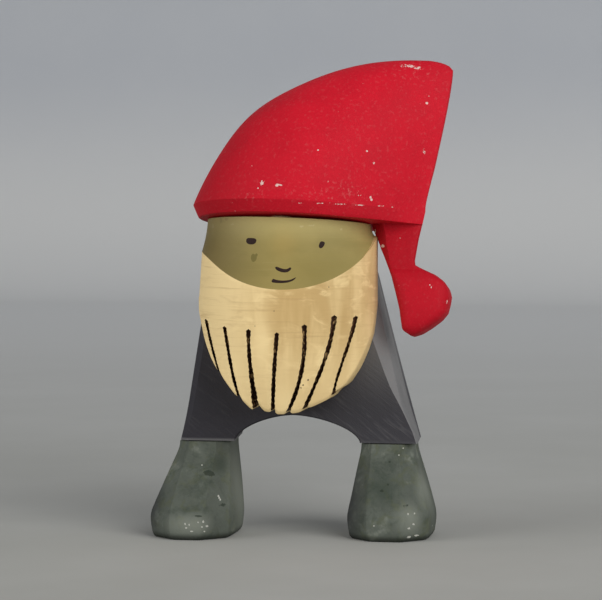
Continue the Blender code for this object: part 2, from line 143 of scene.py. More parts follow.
# Cap: how fast the rim's corner fades along the rim, its tuck at the band's foot, and rounding of the fold
CORNER_FADE, CORNER_TUCK, EDGE_ROUND = 20, 0.0008, 0.0008
# Cap: slant of the fold's face and the way along which it runs out, and the painted shade on the rim band and
# the way over which it fades in from the fold
SLANT, SLANT_WAY, RIM_PAINTED_SHADE, RIM_SHADE_WAY = 0.20, 0.3, 0.55, 0.15
# Cap: how much less the fan opens behind at the fold, and how fast the fold's bow dies out along the crown
REAR_FALL, BOW_FALL = 0.06, 1.75
# Tail: power of its outline and loss of it to the bobble, power of the bobble's round, and shear of its side
TAIL_SQUARE, BOBBLE_SOFTER, BOBBLE_POWER, TAIL_SHEAR = 7.0, 3.5, 2.8, 0.17
# Tail: start of the bobble above the notch, length of the facet in notch depths, and how much less the bobble
# is darkened than the tail
BOBBLE_START, FACET_WAY, BOBBLE_LIGHTER = 0.002, 1.35, 0.35
# Face paint: how far it is domed over the face, and how far it is sunk in
PAINT_DOME, PAINT_SINK = 0.00022, 0.00003
# Studio: where the lamps point
LAMP_AIM = (0, 0, 0.08)
# Body: slant of the tool marks
TOOL_SLANT = math.radians(-38)
# Places on paint and wood, MM: X, Y, Z and reach in X, Y, Z. A chipped place also has grain and cover
CAP_CHIPS = (
    (-6, -42.8, 126, 2.2, 4, 2.6, 1300, 0.46),
    (-0.2, -43.5, 125.3, 3, 4, 1.2, 1100, 0.54),
    (-7.3, -43, 124.2, 0.6, 3, 0.6, 900, 0.7),
    (40.7, -12.2, 167.1, 6.5, 6, 1.6, 1500, 0.46),
    (44.2, -12, 166.3, 3, 6, 1.4, 1200, 0.5),
    (47.9, -15.9, 153.9, 0.8, 3, 0.8, 900, 0.9),
    (30.3, -31.5, 121, 0.6, 3, 0.9, 500, 1),
    (30.6, -31.5, 120.2, 0.7, 3, 0.8, 500, 1),
    (31.4, -31.3, 132.9, 1.2, 3, 1, 1600, 0.5),
    (29.1, -32.3, 137, 0.7, 3, 0.6, 900, 0.75),
    (13, -39, 137.3, 0.6, 3, 0.6, 900, 0.7),
    (47.2, -17.9, 136.8, 1.2, 4, 2.4, 1600, 0.44),
    (26.9, -34, 121.8, 4, 4, 1.4, 1700, 0.34),
    (-13.3, -18.6, 148.8, 1, 3, 0.5, 1200, 0.6),
    (50.3, -25.3, 90.5, 0.4, 3, 0.6, 500, 0.9),
    (50.8, -25.3, 89.7, 0.3, 3, 0.6, 500, 0.9),
    (56, -23, 84.5, 1.2, 4, 2, 1600, 0.46),
    (7.3, -42.9, 119.1, 4, 3, 0.5, 1500, 0.4),
    (14, -40.8, 119, 3.6, 3, 0.5, 1500, 0.5),
    (20.5, -37.7, 118.7, 3.8, 3.4, 0.6, 1500, 0.54),
    (26.9, -33.7, 118.3, 3.8, 3.6, 0.6, 1500, 0.54),
    (33.2, -29, 118, 3.6, 3.6, 0.5, 1500, 0.52),
    (37, -26, 117.6, 1.6, 3, 0.7, 1300, 0.56),
    (32.9, -19.6, 103.8, 1.5, 2, 1.1, 900, 0.8),
    (29.7, -16.1, 108.8, 0.7, 2, 1.5, 1300, 0.66),
)
CAP_SCUFFS = (
    (20, -38, 122.5, 24, 14, 6),
    (-12, -42, 121.5, 14, 8, 3.5),
    (42, -12, 165, 12, 12, 6),
)
BOOT_SCRATCHES = (
    (-35.3, -33.4, 6, 0.54, 3, 0.68, 1900, 0.75),
    (-35, -33.3, 4.6, 0.82, 3, 0.54, 1900, 0.75),
    (-33.9, -33.4, 5.7, 0.48, 3, 0.68, 1900, 0.7),
    (-33, -33.1, 3.4, 1.5, 3, 0.48, 1900, 0.72),
    (-30.7, -33.3, 6.6, 0.48, 3, 0.61, 1900, 0.65),
    (-29, -32.6, 6.9, 0.54, 3, 0.88, 1900, 0.75),
    (-29.4, -32.8, 5, 0.54, 3, 0.61, 1900, 0.7),
    (-27.9, -31.3, 5.1, 0.68, 3, 0.75, 1900, 0.85),
    (-28.7, -31.7, 3.3, 0.54, 3, 0.54, 1900, 0.75),
    (42.9, -24, 1.9, 1.36, 3, 0.75, 1900, 0.8),
    (45.2, -21.8, 2.2, 1.63, 3, 0.61, 1900, 0.72),
    (44.4, -23.4, 6.3, 0.88, 3, 0.82, 1900, 0.62),
    (43, -24.6, 5, 1.09, 3, 0.82, 1900, 0.62),
    (42.6, -24.4, 10, 0.54, 3, 1.02, 1900, 0.62),
    (44.6, -22.4, 10, 0.54, 3, 0.75, 1900, 0.65),
    (30.9, -26.8, 5.9, 0.61, 3, 0.61, 1900, 0.66),
    (49.7, -11.6, 4.5, 3, 0.9, 0.61, 1900, 0.62),
    (-25.1, -25, 15.1, 0.4, 3, 0.6, 500, 1),
    (-24.8, -24.9, 14.5, 0.4, 3, 0.65, 500, 1),
    (-24.4, -24.8, 13.8, 0.35, 3, 0.6, 500, 1),
    (39.5, -14.7, 32.2, 0.5, 3, 0.5, 600, 0.8),
    (38.3, -16.4, 29.9, 0.5, 3, 0.4, 600, 0.75),
    (-31.9, -20.4, 25.5, 0.55, 3, 0.5, 700, 0.75),
    (-27, -18.5, 30.3, 1.2, 3, 1.2, 1600, 0.36),
)
BOOT_BLOTS = (
    (-29.3, -22.4, 22.9, 4.6, 6, 2.4, 420, 0.62),
    (-23.7, -25.3, 12, 3.6, 6, 1.6, 600, 0.52),
    (-31.1, -32.9, 8.8, 3.2, 5, 1, 600, 0.52),
    (33, -22.6, 17.8, 1.5, 6, 1, 800, 0.58),
    (35, -21, 20, 1.5, 6, 0.9, 800, 0.58),
    (35.5, -17.5, 27.5, 1.6, 6, 1, 800, 0.5),
    (41.5, -23.5, 13, 2.2, 6, 1.6, 800, 0.46),
)
# Painted shade on the left-facing facets of both boots
BOOT_PAINTED_SHADE = (
    (19, -17.5, 12, 11, 22, 30),
    (-50, -16, 10, 8.5, 30, 20),
)
BOOT_DARKS = (
    (33.5, -22, 18.5, 10, 9, 9),
    (-25.5, -19, 26, 5, 9, 6),
)
# Paler places: painted light on the left boot's right flank, which the body shades; paler toes and right
# flank
BOOT_LIGHT_AND_WEAR = (
    (-20.8, -6, 20, 6, 22, 34),
    (-33, -33, 5.5, 14, 6, 6),
    (43, -24, 8, 7, 10, 9),
    (47, -12, 18, 5, 14, 16),
)
FACE_DRIPS = (
    (-22.7, -31.3, 112.9, 1.1, 4, 2.3, 900, 0.8),
    (-20.4, -32.8, 113.4, 1.5, 4, 1.3, 900, 0.76),
)
FACE_BLOTS = (
    (-9.4, -39.6, 99.9, 2.2, 4, 2.9, 300, 0.8),
    (-8.6, -39.6, 101, 1.2, 4, 1.3, 500, 0.6),
)
FACE_DARKS = ((17, -36, 96, 22, 14, 9),)
FACE_RINGS = ((1.1, -39.4, 106, 7, 6, 11),)
FACE_LIGHTS = (
    (7, -37.8, 110.9, 1.3, 4, 0.8, 1300, 0.66),
    (10.4, -36.8, 111.3, 3, 4, 0.7, 1500, 0.52),
    (20, -31.5, 110, 0.9, 4, 1.4, 1300, 0.54),
    (-18.1, -34.6, 111.6, 1.8, 4, 1.2, 1500, 0.54),
    (-26.3, -27.4, 110.8, 2, 4, 1.8, 1500, 0.5),
)
BEARD_LIGHTS = (
    (0.5, -37, 49, 7, 9, 12),
    (-6.5, -42, 70, 5, 9, 13),
    (-16.5, -36, 62, 4, 9, 12),
)
BEARD_SPECKS = (
    (-1.7, -43.2, 81.8, 0.3, 3, 0.3, 500, 0.9),
    (16.7, -38.3, 90, 0.3, 3, 0.3, 500, 0.9),
    (7.6, -38, 55.9, 0.7, 4, 0.8, 900, 0.66),
    (9.3, -38, 57.7, 0.5, 4, 0.7, 900, 0.66),
    (6.8, -37.8, 54.9, 0.5, 4, 0.5, 900, 0.6),
    (-8.6, -42.2, 76.5, 0.3, 3, 0.3, 500, 0.9),
)
BODY_CHIPS = (
    (36, 0, 56, 0.8, 16, 1.2, 400, 1),
    (36.4, 0, 54.4, 0.8, 16, 1, 400, 1),
)
# Colours of marks, of painted light and of painted shade, as linear light
# Below: painted light on the front's right, painted light high on the side facets, and bare chip wood
FRONT_PAINTED_LIGHT, FACET_PAINTED_LIGHT_ABOVE, BARE_CHIP = (0.070, 0.068, 0.074), (0.275, 0.272, 0.270), (0.62, 0.58, 0.52)
# Below: a painted shadow along the boots' soles at the floor, then scratches and bark specks
SOLE_PAINTED_SHADOW, SCRATCHED, BARK_SPECK = (0.016, 0.018, 0.014), (0.70, 0.69, 0.62), (0.09, 0.05, 0.03)
STAIN_CLOUD, STAIN_GRAIN, STAIN_LOW = (0.20, 0.17, 0.05), (0.47, 0.38, 0.16), (0.26, 0.195, 0.055)
# Below: painted light on the face's top and right, and a real stain on its left deepened by painted shade
FACE_PAINTED_LIGHT_TOP, FACE_PAINTED_LIGHT_RIGHT, STAIN_AND_SHADE_LEFT = (0.54, 0.45, 0.19), (0.47, 0.39, 0.16), (0.105, 0.074, 0.031)
TORN_FIBRE, THIN_INK = (0.62, 0.40, 0.17), (0.09, 0.06, 0.04)
# Marks laid over the boots' paint and the face's stain, one after another: places, amount and colour. The
# boots' first is painted shade
BOOT_LAYERS = ((BOOT_PAINTED_SHADE, 0.90, (0.028, 0.028, 0.032)), (BOOT_BLOTS, 0.75, (0.026, 0.034, 0.024)))
FACE_LAYERS = (
    (FACE_RINGS, 0.4, (0.42, 0.29, 0.09)),
    (FACE_DARKS, 0.7, (0.25, 0.20, 0.052)),
    (FACE_BLOTS, 0.75, (0.13, 0.115, 0.028)),
    (FACE_DRIPS, 0.7, (0.11, 0.075, 0.04)),
    (FACE_LIGHTS, 0.5, (0.60, 0.53, 0.32)),
)


def length(label, default, words):
    """A size in metres that a user may change."""
    return FloatProperty(name=label, description=words, default=default, unit="LENGTH", precision=4)


def number(label, default, words):
    """A plain number that a user may change."""
    return FloatProperty(name=label, description=words, default=default)


def turn(label, degrees, words):
    """An angle that a user may change."""
    return FloatProperty(name=label, description=words, default=math.radians(degrees), subtype="ANGLE")


def colour(label, red, green, blue, words):
    """A colour that a user may change, given as 0 to 255 on screen and kept as linear light."""
    screen = np.array([red, green, blue]) / 255
    light = np.where(screen <= 0.04045, screen / 12.92, ((screen + 0.055) / 1.055) ** 2.4)
    default = light.tolist()
    return FloatVectorProperty(name=label, description=words, default=default, subtype="COLOR", min=0, max=1)


class NisseBody(bpy.types.PropertyGroup):
    """Sizes and paint of the body plank."""

    half_span: length("Half span", 0.0412, "Half the width across the legs")
    top_half_width: length("Top half width", 0.0253, "Half the width at the cap")
    thickness: length("Thickness", 0.0300, "Thickness of the plank")
    leg_bottom: length("Leg bottom", 0.0338, "Height of the joint between leg and boot")
    flare: length("Flare", 0.0008, "How far the foot of the left leg flares out")
    right_foot: length("Right foot", 0.0424, "Place of the right side at the foot")
    right_top: length("Right top", 0.0234, "Place of the right side at the cap")
    right_bow: length("Right bow", 0.0005, "How far the right side is bowed in")
    flare_height: length("Flare height", 0.0160, "Height over which a leg flares")
    arch_half_width: length("Arch half width", 0.0240, "Half the width of the arch between the legs")
    arch_rise: length("Arch rise", 0.0095, "Rise of the arch")
    arch_slant: length("Arch slant", 0.0030, "How much shorter the arch's left end is in front than behind")
    chamfer_leg: length("Chamfer at leg", 0.0022, "Knife-cut chamfer at the foot of a leg")
    chamfer_top: length("Chamfer at top", 0.0095, "Knife-cut chamfer behind at the cap, on the right")
    chamfer_left: length("Left chamfer at top", 0.0032, "Knife-cut chamfer at the cap, on the left")
    lean: turn("Lean", 2.0, "Lean of the plank to the left")
    paint: colour("Paint", 45, 43, 49, "Dark blue-grey paint")
    # Paler paint of the side facets: partly wear, partly painted light where the lamp falls on them
    worn_and_lit: colour("Worn paint", 122, 121, 121, "Rubbed paint on the side facets")


class NisseBoots(bpy.types.PropertyGroup):
    """Sizes and paint of the boots."""

    height: length("Height", 0.0335, "Height of a boot")
    top_width: length("Top width", 0.0186, "Width at the leg")
    sole_width: length("Sole width", 0.0304, "Width at the sole")
    top_front: length("Top front", -0.0160, "Front edge of the top")
    top_back: length("Top back", 0.0090, "Back edge of the top")
    heel: length("Heel", 0.0120, "Back of the sole")
    sole_height: length("Sole height", 0.0086, "Height of the upright part above the floor")
    sole_tuck: length("Sole tuck", 0.0010, "How far the upright part leans in towards the floor")
    sole_edge: length("Sole edge", 0.0013, "Rounding of the sole's edge")
    neck: length("Neck", 0.0022, "Height of the upright part under the leg")
    facet: length("Facet", 0.0026, "Depth of the knife-cut facets at the two front edges")
    paint: colour("Paint", 90, 95, 87, "Grey-green paint")
    olive: colour("Olive paint", 88, 92, 70, "Olive patches of the paint")
    dark: colour("Dark paint", 54, 63, 54, "Darker patches of the paint")
    # Paler paint of the boots: partly wear, partly painted light on the left boot's right flank
    worn_and_lit: colour("Worn paint", 134, 138, 127, "Rubbed paint")


class NisseHead(bpy.types.PropertyGroup):
    """Sizes and finishes of the half-round head block."""

    radius: length("Radius", 0.0320, "Half the width of the block")
    depth: length("Depth", 0.0280, "How far the block stands out of the body")
    offset: length("Offset", -0.0015, "Sideways place of the block")
    glue_gap: length("Glue gap", 0.0003, "Gap behind the block and under the cap")
    lip_height: length("Lip height", 0.0892, "Lowest height of the face's edge")
    lip_rise: length("Lip rise", 0.0230, "Rise of the face's edge to the sides")
    lip_turn: turn("Lip turn", 4.5, "Turn of the face's lowest point")
    lip_left: turn("Lip left", 60.0, "Turn to the left at which the face's edge runs out")
    lip_right: turn("Lip right", 95.0, "Turn to the right at which the face's edge runs out")
    ledge_start: turn("Ledge start", 58.0, "Turn to the right at which the face's edge becomes a ledge")
    scoop_front: length("Scoop in front", 0.0045, "Depth of the scooped face at the middle")
    scoop_left: length("Scoop at left", 0.0013, "Depth of the scooped face at its left end")
    scoop_right: length("Scoop at right", 0.0025, "Depth of the scooped face at its right end")
    taper: length("Taper", 0.0019, "How far the left side is drawn in up to the cap")
    taper_height: length("Taper height", 0.0830, "Height above which the left side is drawn in")
    tip_depth: length("Tip depth", 0.0200, "Depth of the beard at its lowest strands")
    slope_height: length("Slope height", 0.0860, "Height under which the beard is drawn in")
    kerf_depth: length("Kerf depth", 0.0060, "Depth of the kerfs at the strands' ends")
    birch: colour("Birch", 202, 169, 113, "Bare birch")
    # Pale birch: also laid as painted light on the beard's left, its lower part and its right edge
    pale: colour("Pale birch", 250, 222, 164, "Paler bands of the birch")
    tan: colour("Tan birch", 186, 150, 100, "Darker grain of the birch")
    stain: colour("Stain", 158, 142, 86, "Olive stain of the face")
    scorch: colour("Scorch", 62, 38, 24, "Scorched walls of the kerfs")
    ink: colour("Ink", 44, 28, 25, "Paint of eyes, nose and mouth")


class NisseCap(bpy.types.PropertyGroup):
    """Sizes and paint of the folded cap."""

    seat_height: length("Seat height", 0.1120, "Height of the seat at the body's front")
    seat_back: turn("Seat back", 8.0, "How far the seat is tilted back")
    seat_right: turn("Seat right", 1.4, "How far the seat falls to the right")
    overhang: length("Overhang", 0.0022, "Overhang of the rim in front and at the left")
    overhang_back: length("Overhang back", 0.0055, "Overhang of the rim behind")
    fold: length("Fold", 0.0468, "Distance of the fold from the middle of the seat")
    rise: length("Rise", 0.0542, "Height of the crown above the rim")
    fullness: number("Fullness", 1.7, "How fast the crown rises from the nose")
    thinning: number("Thinning", 1.15, "How fast the crown thins upwards")
    bulge: length("Bulge", 0.0016, "How far the crown swells at a third of the way up")
    lean: turn("Lean", 11.5, "How far the folded edge leans out")
    bow: length("Bow", 0.00135, "How far the folded edge is bowed out above the rim")
    corner: length("Corner", 0.0024, "How far the rim's right corner stands out of the fold")
    edge: length("Edge", 0.0090, "Thickness of the folded edge")
    tip_round: length("Tip round", 0.0022, "How much the tip is drawn in")
    rim: length("Rim", 0.0046, "Height of the rim band")
    rim_inset: length("Rim inset", 0.0020, "How far the rim band slopes in")
    tail_thickness: length("Tail thickness", 0.0112, "Thickness of the tail")
    facet: length("Facet", 0.0049, "Knife-cut facet on the tail's left front edge")
    notch: length("Notch", 0.0144, "Depth of the notch above the bobble")
    bobble_drop: length("Bobble drop", 0.0268, "Depth of the bobble's middle below the seat")
    bobble_height: length("Bobble height", 0.0248, "Height of the bobble")
    bobble_thickness: length("Bobble thickness", 0.0165, "Thickness of the bobble")
    paint: colour("Paint", 203, 22, 41, "Red paint")
    # Deeper red: painted shade on the rim band and the crown's left, and a darker red on the tail
    shade: colour("Shade", 150, 8, 22, "Deeper red under the rim and on the tail")
    chip: colour("Chip", 233, 205, 196, "Pale ground under chipped paint")


class NisseStage(bpy.types.PropertyGroup):
    """Camera, floor and light."""

    distance: length("Distance", 1.0, "Distance of the camera from the figure")
    eye_height: length("Eye height", 0.130, "Height of the camera")
    azimuth: turn("Azimuth", 9.7, "How far the camera stands to the right")
    pan: turn("Pan", 9.679, "How far the camera looks to the left")
    tilt: turn("Tilt", 2.653, "How far the camera looks down")
    lens: number("Lens", 166.1, "Focal length in millimetres on a 36 mm wide sensor")
    floor: colour("Floor", 177, 177, 171, "Pale floor")
    wall: colour("Wall", 240, 240, 238, "Paler backdrop")
    upper_wall: colour("Upper wall", 210, 213, 218, "Backdrop further up")


SETTINGS = {
    "nisse_body": NisseBody,
    "nisse_boots": NisseBoots,
    "nisse_head": NisseHead,
    "nisse_cap": NisseCap,
    "nisse_stage": NisseStage,
}


def ease(share):
    """Smooth step: 3 t^2 - 2 t^3 of a share held between 0 and 1."""
    t = np.clip(share, 0, 1)
    return t * t * (3 - 2 * t)


def read_table(table, at):
    """The second column of a table in MM at values of its first, in a straight line between rows."""
    return np.interp(at, *(table.T * MM))


def rounded(angle, power):
    """A rounded square about the middle: cos and sin of the angle, each to a power with its sign kept."""
    return [np.sign(wave) * np.abs(wave) ** power for wave in (np.cos(angle), np.sin(angle))]


def stack(x, y, z):
    """Points from three arrays of coordinates that fit one another."""
    return np.stack(np.broadcast_arrays(x, y, z), axis=-1)


def grid_faces(rows, columns, wrap):
    """Corner numbers of a grid's quads; with wrap the last column joins the first."""
    row = np.arange(rows - 1)[:, None] * columns
    column = np.arange(columns if wrap else columns - 1)[None, :]
    following = (column + 1) % columns
    corners = [row + column, row + following, row + columns + following, row + columns + column]
    return np.stack(corners, axis=-1).reshape(-1, 4)


def polygon_rows(corners, counts):
    """Closed polygons through corner arrays, one a row: a + (b - a) k / n from a corner a to the next, b."""
    sides = []
    for start, end, count in zip(corners, corners[1:] + corners[:1], counts):
        share = (np.arange(count) / count)[None, :, None]
        sides.append(start[:, None] + (end - start)[:, None] * share)
    return np.concatenate(sides, axis=1)


def with_poles(rows):
    """Closes both ends of a tube of rows with a point in the middle of its first and of its last row."""
    ends = [np.broadcast_to(row.mean(axis=1, keepdims=True), row.shape) for row in (rows[:1], rows[-1:])]
    return np.concatenate([ends[0], rows, ends[1]])


def ripple(points, size, seed):
    """Hand-carved unevenness: the sum of six sine waves of about that wavelength, from -1 to 1."""
    rng = np.random.default_rng(seed)
    waves = rng.normal(size=(6, 3)) * (2 * math.pi / size) / 1.7
    starts = rng.uniform(0, 2 * math.pi, 6)
    return np.sin(points @ waves.T + starts).sum(axis=-1) / 6


def make_piece(name, grids, material, masks=None, sharp=35.0):
    """A piece from grids, each (points, wrap), with edges over sharp degrees left hard.

    masks gives each face attribute one array per grid.
    """
    verts, faces, start = [], [], 0
    for points, wrap in grids:
        rows, columns = points.shape[:2]
        verts.append(points.reshape(-1, 3) + PLANK)
        faces.append(grid_faces(rows, columns, wrap) + start)
        start += rows * columns
    mesh = bpy.data.meshes.new(name)
    mesh.from_pydata(np.concatenate(verts), [], np.concatenate(faces))
    for mask, values in (masks or {}).items():
        layer = mesh.attributes.new(mask, "FLOAT", "FACE")
        layer.data.foreach_set("value", np.concatenate([v.ravel() for v in values]).astype(np.float32))
    work = bmesh.new()
    work.from_mesh(mesh)
    bmesh.ops.remove_doubles(work, verts=work.verts[:], dist=WELD)
    bmesh.ops.dissolve_degenerate(work, edges=work.edges[:], dist=WELD / 4)
    bmesh.ops.recalc_face_normals(work, faces=work.faces[:])
    work.to_mesh(mesh)
    work.free()
    mesh.shade_smooth()
    mesh.set_sharp_from_angle(angle=math.radians(sharp))
    mesh.materials.append(material)
    obj = bpy.data.objects.new(name, mesh)
    bpy.context.scene.collection.objects.link(obj)
    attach(obj, "root")
    return obj


def seat_turn(cap):
    """The seat's turn as a matrix: about X by its tilt back, then about Y by its fall to the right."""
    a, b = -cap.seat_back, cap.seat_right
    about_x = np.array([[1, 0, 0], [0, math.cos(a), -math.sin(a)], [0, math.sin(a), math.cos(a)]])
    about_y = np.array([[math.cos(b), 0, math.sin(b)], [0, 1, 0], [-math.sin(b), 0, math.cos(b)]])
    return about_y @ about_x


def seat_middle(scene):
    """The middle of the seat: on the body's front face, at the head's middle."""
    return np.array([scene.nisse_head.offset, -scene.nisse_body.thickness / 2, scene.nisse_cap.seat_height])


def seat_plane(scene, x, y):
    """Height of the sawn seat above a point: z0 - (nx (x - x0) + ny (y - y0)) / nz, less the glue gap."""
    normal = seat_turn(scene.nisse_cap)[:, 2]
    middle = seat_middle(scene)
    fall = (normal[0] * (x - middle[0]) + normal[1] * (y - middle[1])) / normal[2]
    return middle[2] - fall - scene.nisse_head.glue_gap


def body_grid(scene):
    """The plank as a tube bent over the arch.

    Each row joins the arch to the outline: up the left side, over the top and down the right side. A row's
    section is a box between the two with knife-cut chamfers at the outline. The left side is a straight taper
    + flare (1 - (z - leg) / flare height)^2, moved left by lean (z - leg). The right side runs from foot to
    top less 4 bow t (1 - t), and its front facet starts at the table's edge. The arch is
    |x/a|^(5/3) + |z/b|^(5/3) = 1. The top bends to the sawn seat over the last fifth of the height. The mask
    is 1 on the right side, whose paint is paler partly from wear and partly as painted light.
    """
    body = scene.nisse_body
    top = scene.nisse_cap.seat_height
    half = body.thickness / 2
    rise = np.linspace(0, 1, 40)
    over = np.linspace(0, 1, 20)[1:-1]

    def joined(left_side, top_edge, right_side):
        """Values up the left side, over the top and down the right side."""
        return np.concatenate([left_side, np.broadcast_to(top_edge, over.shape), right_side[::-1]])

    z = body.leg_bottom + (top - body.leg_bottom) * rise
    straight = body.half_span - body.flare + (body.top_half_width - body.half_span + body.flare) * rise
    flare = np.clip(1 - (z - body.leg_bottom) / body.flare_height, 0, 1) ** 2
    shift = -(z - body.leg_bottom) * math.tan(body.lean)
    cut = body.chamfer_leg + (body.chamfer_top - body.chamfer_leg) * rise
    cut_left = body.chamfer_leg + (body.chamfer_left - body.chamfer_leg) * rise
    left = shift - straight - body.flare * flare
    right = body.right_foot + (body.right_top - body.right_foot) * rise
    right = right - 4 * body.right_bow * rise * (1 - rise)
    edge = read_table(FACET_EDGE, z)
    right_front = np.maximum(right, edge + LEAST_FACET)
    over_x = left[-1] + cut_left[-1] + (right[-1] - cut[-1] - left[-1] - cut_left[-1]) * over
    outer_z = joined(z, top, z)
    angle = joined(math.pi * (1 - 0.4 * rise), math.pi * (0.6 - 0.2 * over), math.pi * 0.4 * rise)
    across, upward = rounded(angle, 1.2)
    arch_x = body.arch_half_width * across
    arch_z = body.leg_bottom + body.arch_rise * upward
    arch_front = arch_x * np.where(arch_x < 0, 1 - body.arch_slant / body.arch_half_width, 1)
    soft_x, soft_z = ARCH_EDGE * np.cos(angle), ARCH_EDGE * np.sin(angle)
    corners = [
        stack(arch_front, -half + ARCH_EDGE, arch_z),
        stack(arch_front + soft_x, -half, arch_z + soft_z),
        stack(joined(left + cut_left, over_x, edge), -half, outer_z),
        stack(joined(left, over_x, right_front), -half + joined(cut_left, 0, right_front - edge), outer_z),
        stack(joined(left, over_x, right), half - joined(cut_left, 0, cut), outer_z),
        stack(joined(left + cut_left, over_x, right - cut), half, outer_z),
        stack(arch_x + soft_x, half, arch_z + soft_z),
        stack(arch_x, half - ARCH_EDGE, arch_z),
    ]
    counts = (1, 24, 6, 10, 6, 24, 1, 10)
    points = polygon_rows(corners, counts)
    near_top = ease((points[..., 2] - 0.8 * top) / (0.2 * top))
    points[..., 2] += near_top * (seat_plane(scene, points[..., 0], points[..., 1]) - top)
    side_columns = np.repeat([0, 0, 1, 1, 0, 0, 0, 0], counts)
    back_edge = sum(counts[:4])
    side_columns[back_edge - 2 : back_edge] = 0
    upright = joined(np.zeros(len(z)), 0, np.ones(len(z)))
    worn_and_lit_side = np.concatenate([[0], upright[:-1] * upright[1:], [0]])[:, None] * side_columns[None, :]
    return with_poles(points), worn_and_lit_side


def boot_grid(boots, stance):
    """A boot: rounded outlines |x/a|^n + |y/b|^n = 1 stacked up from the sole, squarer towards the top.

    The sole's edge is a quarter round. The upright part leans in by tuck (1 - z / sole)^2. The flanks then go
    straight up to the neck with a smooth start and end, (soft start - soft end) of k ln(1 + exp(r / k)), and
    the brim is rounded. The two front edges are cut to facets where dx + dy < (1 - 2^(-1/n)) (a + b) + facet.
    The width is uneven, less so at the floor.
    """
    side, toe, top_middle, splay = np.array(stance) * (1, MM, MM, MM)
    roll = np.linspace(0, math.pi / 2, 9)
    ending = roll[2::2]
    edge_height = boots.sole_edge * 1.5
    wall = np.linspace(edge_height, boots.height - BOOT_BRIM, 34)[1:]
    brim = boots.height - BOOT_BRIM * (1 - np.sin(ending))
    z = np.concatenate([edge_height * (1 - np.cos(roll)), wall, brim])
    rolled = [boots.sole_edge * (1 - np.sin(roll)), np.zeros(wall.shape), BOOT_BRIM * (1 - np.cos(ending))]
    inset = np.concatenate(rolled) + boots.sole_tuck * np.clip(1 - z / boots.sole_height, 0, 1) ** 2
    share = (z - boots.sole_height) / (boots.height - boots.neck - boots.sole_height)
    rise = FLANK_SOFT * (np.logaddexp(0, share / FLANK_SOFT) - np.logaddexp(0, (share - 1) / FLANK_SOFT))
    half_width = (boots.sole_width + (boots.top_width - boots.sole_width) * rise) / 2 - inset
    front = toe + (boots.top_front - toe) * rise + inset
    back = boots.heel + (boots.top_back - boots.heel) * rise - inset
    middle = side * (top_middle + splay * (1 - rise))
    square = BOOT_SQUARE + BOOT_SQUARER * rise
    cut = (1 - 2 ** (-1 / square)) * (half_width + (back - front) / 2) + boots.facet * (1 - FACET_FALL * rise)
    half_width, front, back, middle, square, cut = (
        row[:, None] for row in (half_width, front, back, middle, square, cut)
    )
    across, along = rounded(np.linspace(0, 2 * math.pi, 96, endpoint=False)[None, :], 2 / square)
    x = middle + side * half_width * across
    y = (front + back) / 2 + (back - front) / 2 * along
    forward = y - front
    from_left = x - (middle - half_width)
    short_left = np.clip(cut - from_left - forward, 0, None) / 2
    short_right = np.clip(cut - (2 * half_width - from_left) - forward, 0, None) / 2
    points = stack(x + short_left - short_right, y + short_left + short_right, z[:, None])
    uneven = BOOT_UNEVEN * ripple(points, BOOT_WAVE, 3 + int(side)) * ease(z / boots.sole_height)[:, None]
    points[..., 0] = middle + (points[..., 0] - middle) * (1 + uneven)
    return with_poles(points)


def lip_height(head, theta):
    """Height of the face's edge round the block: lip + rise (1 - cos(held - turn)).

    The turn is held by held = theta / (1 + |theta / limit|^6)^(1/6), so that the edge runs out at both sides.
    """
    limit = np.where(theta < 0, head.lip_left, head.lip_right)
    held = theta / (1 + np.abs(theta / limit) ** 6) ** (1 / 6)
    return head.lip_height + head.lip_rise * (1 - np.cos(held - head.lip_turn))


def block_depth(head, z):
    """How far the block stands out in the middle: full above, less by the square of the way to the tips."""
    tip = STRAND_ENDS[:, 1].min() * MM
    share = np.clip((head.slope_height - z) / (head.slope_height - tip), 0, 1)
    return head.depth - (head.depth - head.tip_depth) * share**2


def block_back(scene):
    """Y of the block's flat back, a glue gap before the body's front."""
    return -scene.nisse_body.thickness / 2 - scene.nisse_head.glue_gap


def turn_at(head, x, radius):
    """The turn round the block at an X: asin((x - offset) / r)."""
    return np.arcsin(np.clip((x - head.offset) / radius, -1, 1))


def seat_over(scene, theta, x):
    """Height of the seat over the block's front, at about 0.6 of its depth."""
    return seat_plane(scene, x, block_back(scene) - 0.6 * scene.nisse_head.depth * np.cos(theta))


def block_radius(scene, theta, z, scooped=0.0):
    """Half the block's width: drawn in evenly on the left from the taper's height, less the face's scoop."""
    head = scene.nisse_head
    share = np.clip((z - head.taper_height) / (scene.nisse_cap.seat_height - head.taper_height), 0, 1)
    taper = np.where(theta < 0, head.taper, 0)
    return head.radius - taper * share - np.where(theta < 0, head.scoop_left, head.scoop_right) * scooped


def face_point(scene, x, z):
    """The scooped face's Y at an X and a height, by the turn there, with the radius from a first turn."""
    head = scene.nisse_head
    theta = turn_at(head, x, head.radius)
    low = lip_height(head, theta)
    share = np.clip((z - low) / (seat_over(scene, theta, x) - low), 0, 1)
    scooped = 1 - (1 - share) ** 2
    theta = turn_at(head, x, block_radius(scene, theta, z, scooped))
    return block_back(scene) - (block_depth(head, z) - head.scoop_front * scooped) * np.cos(theta)


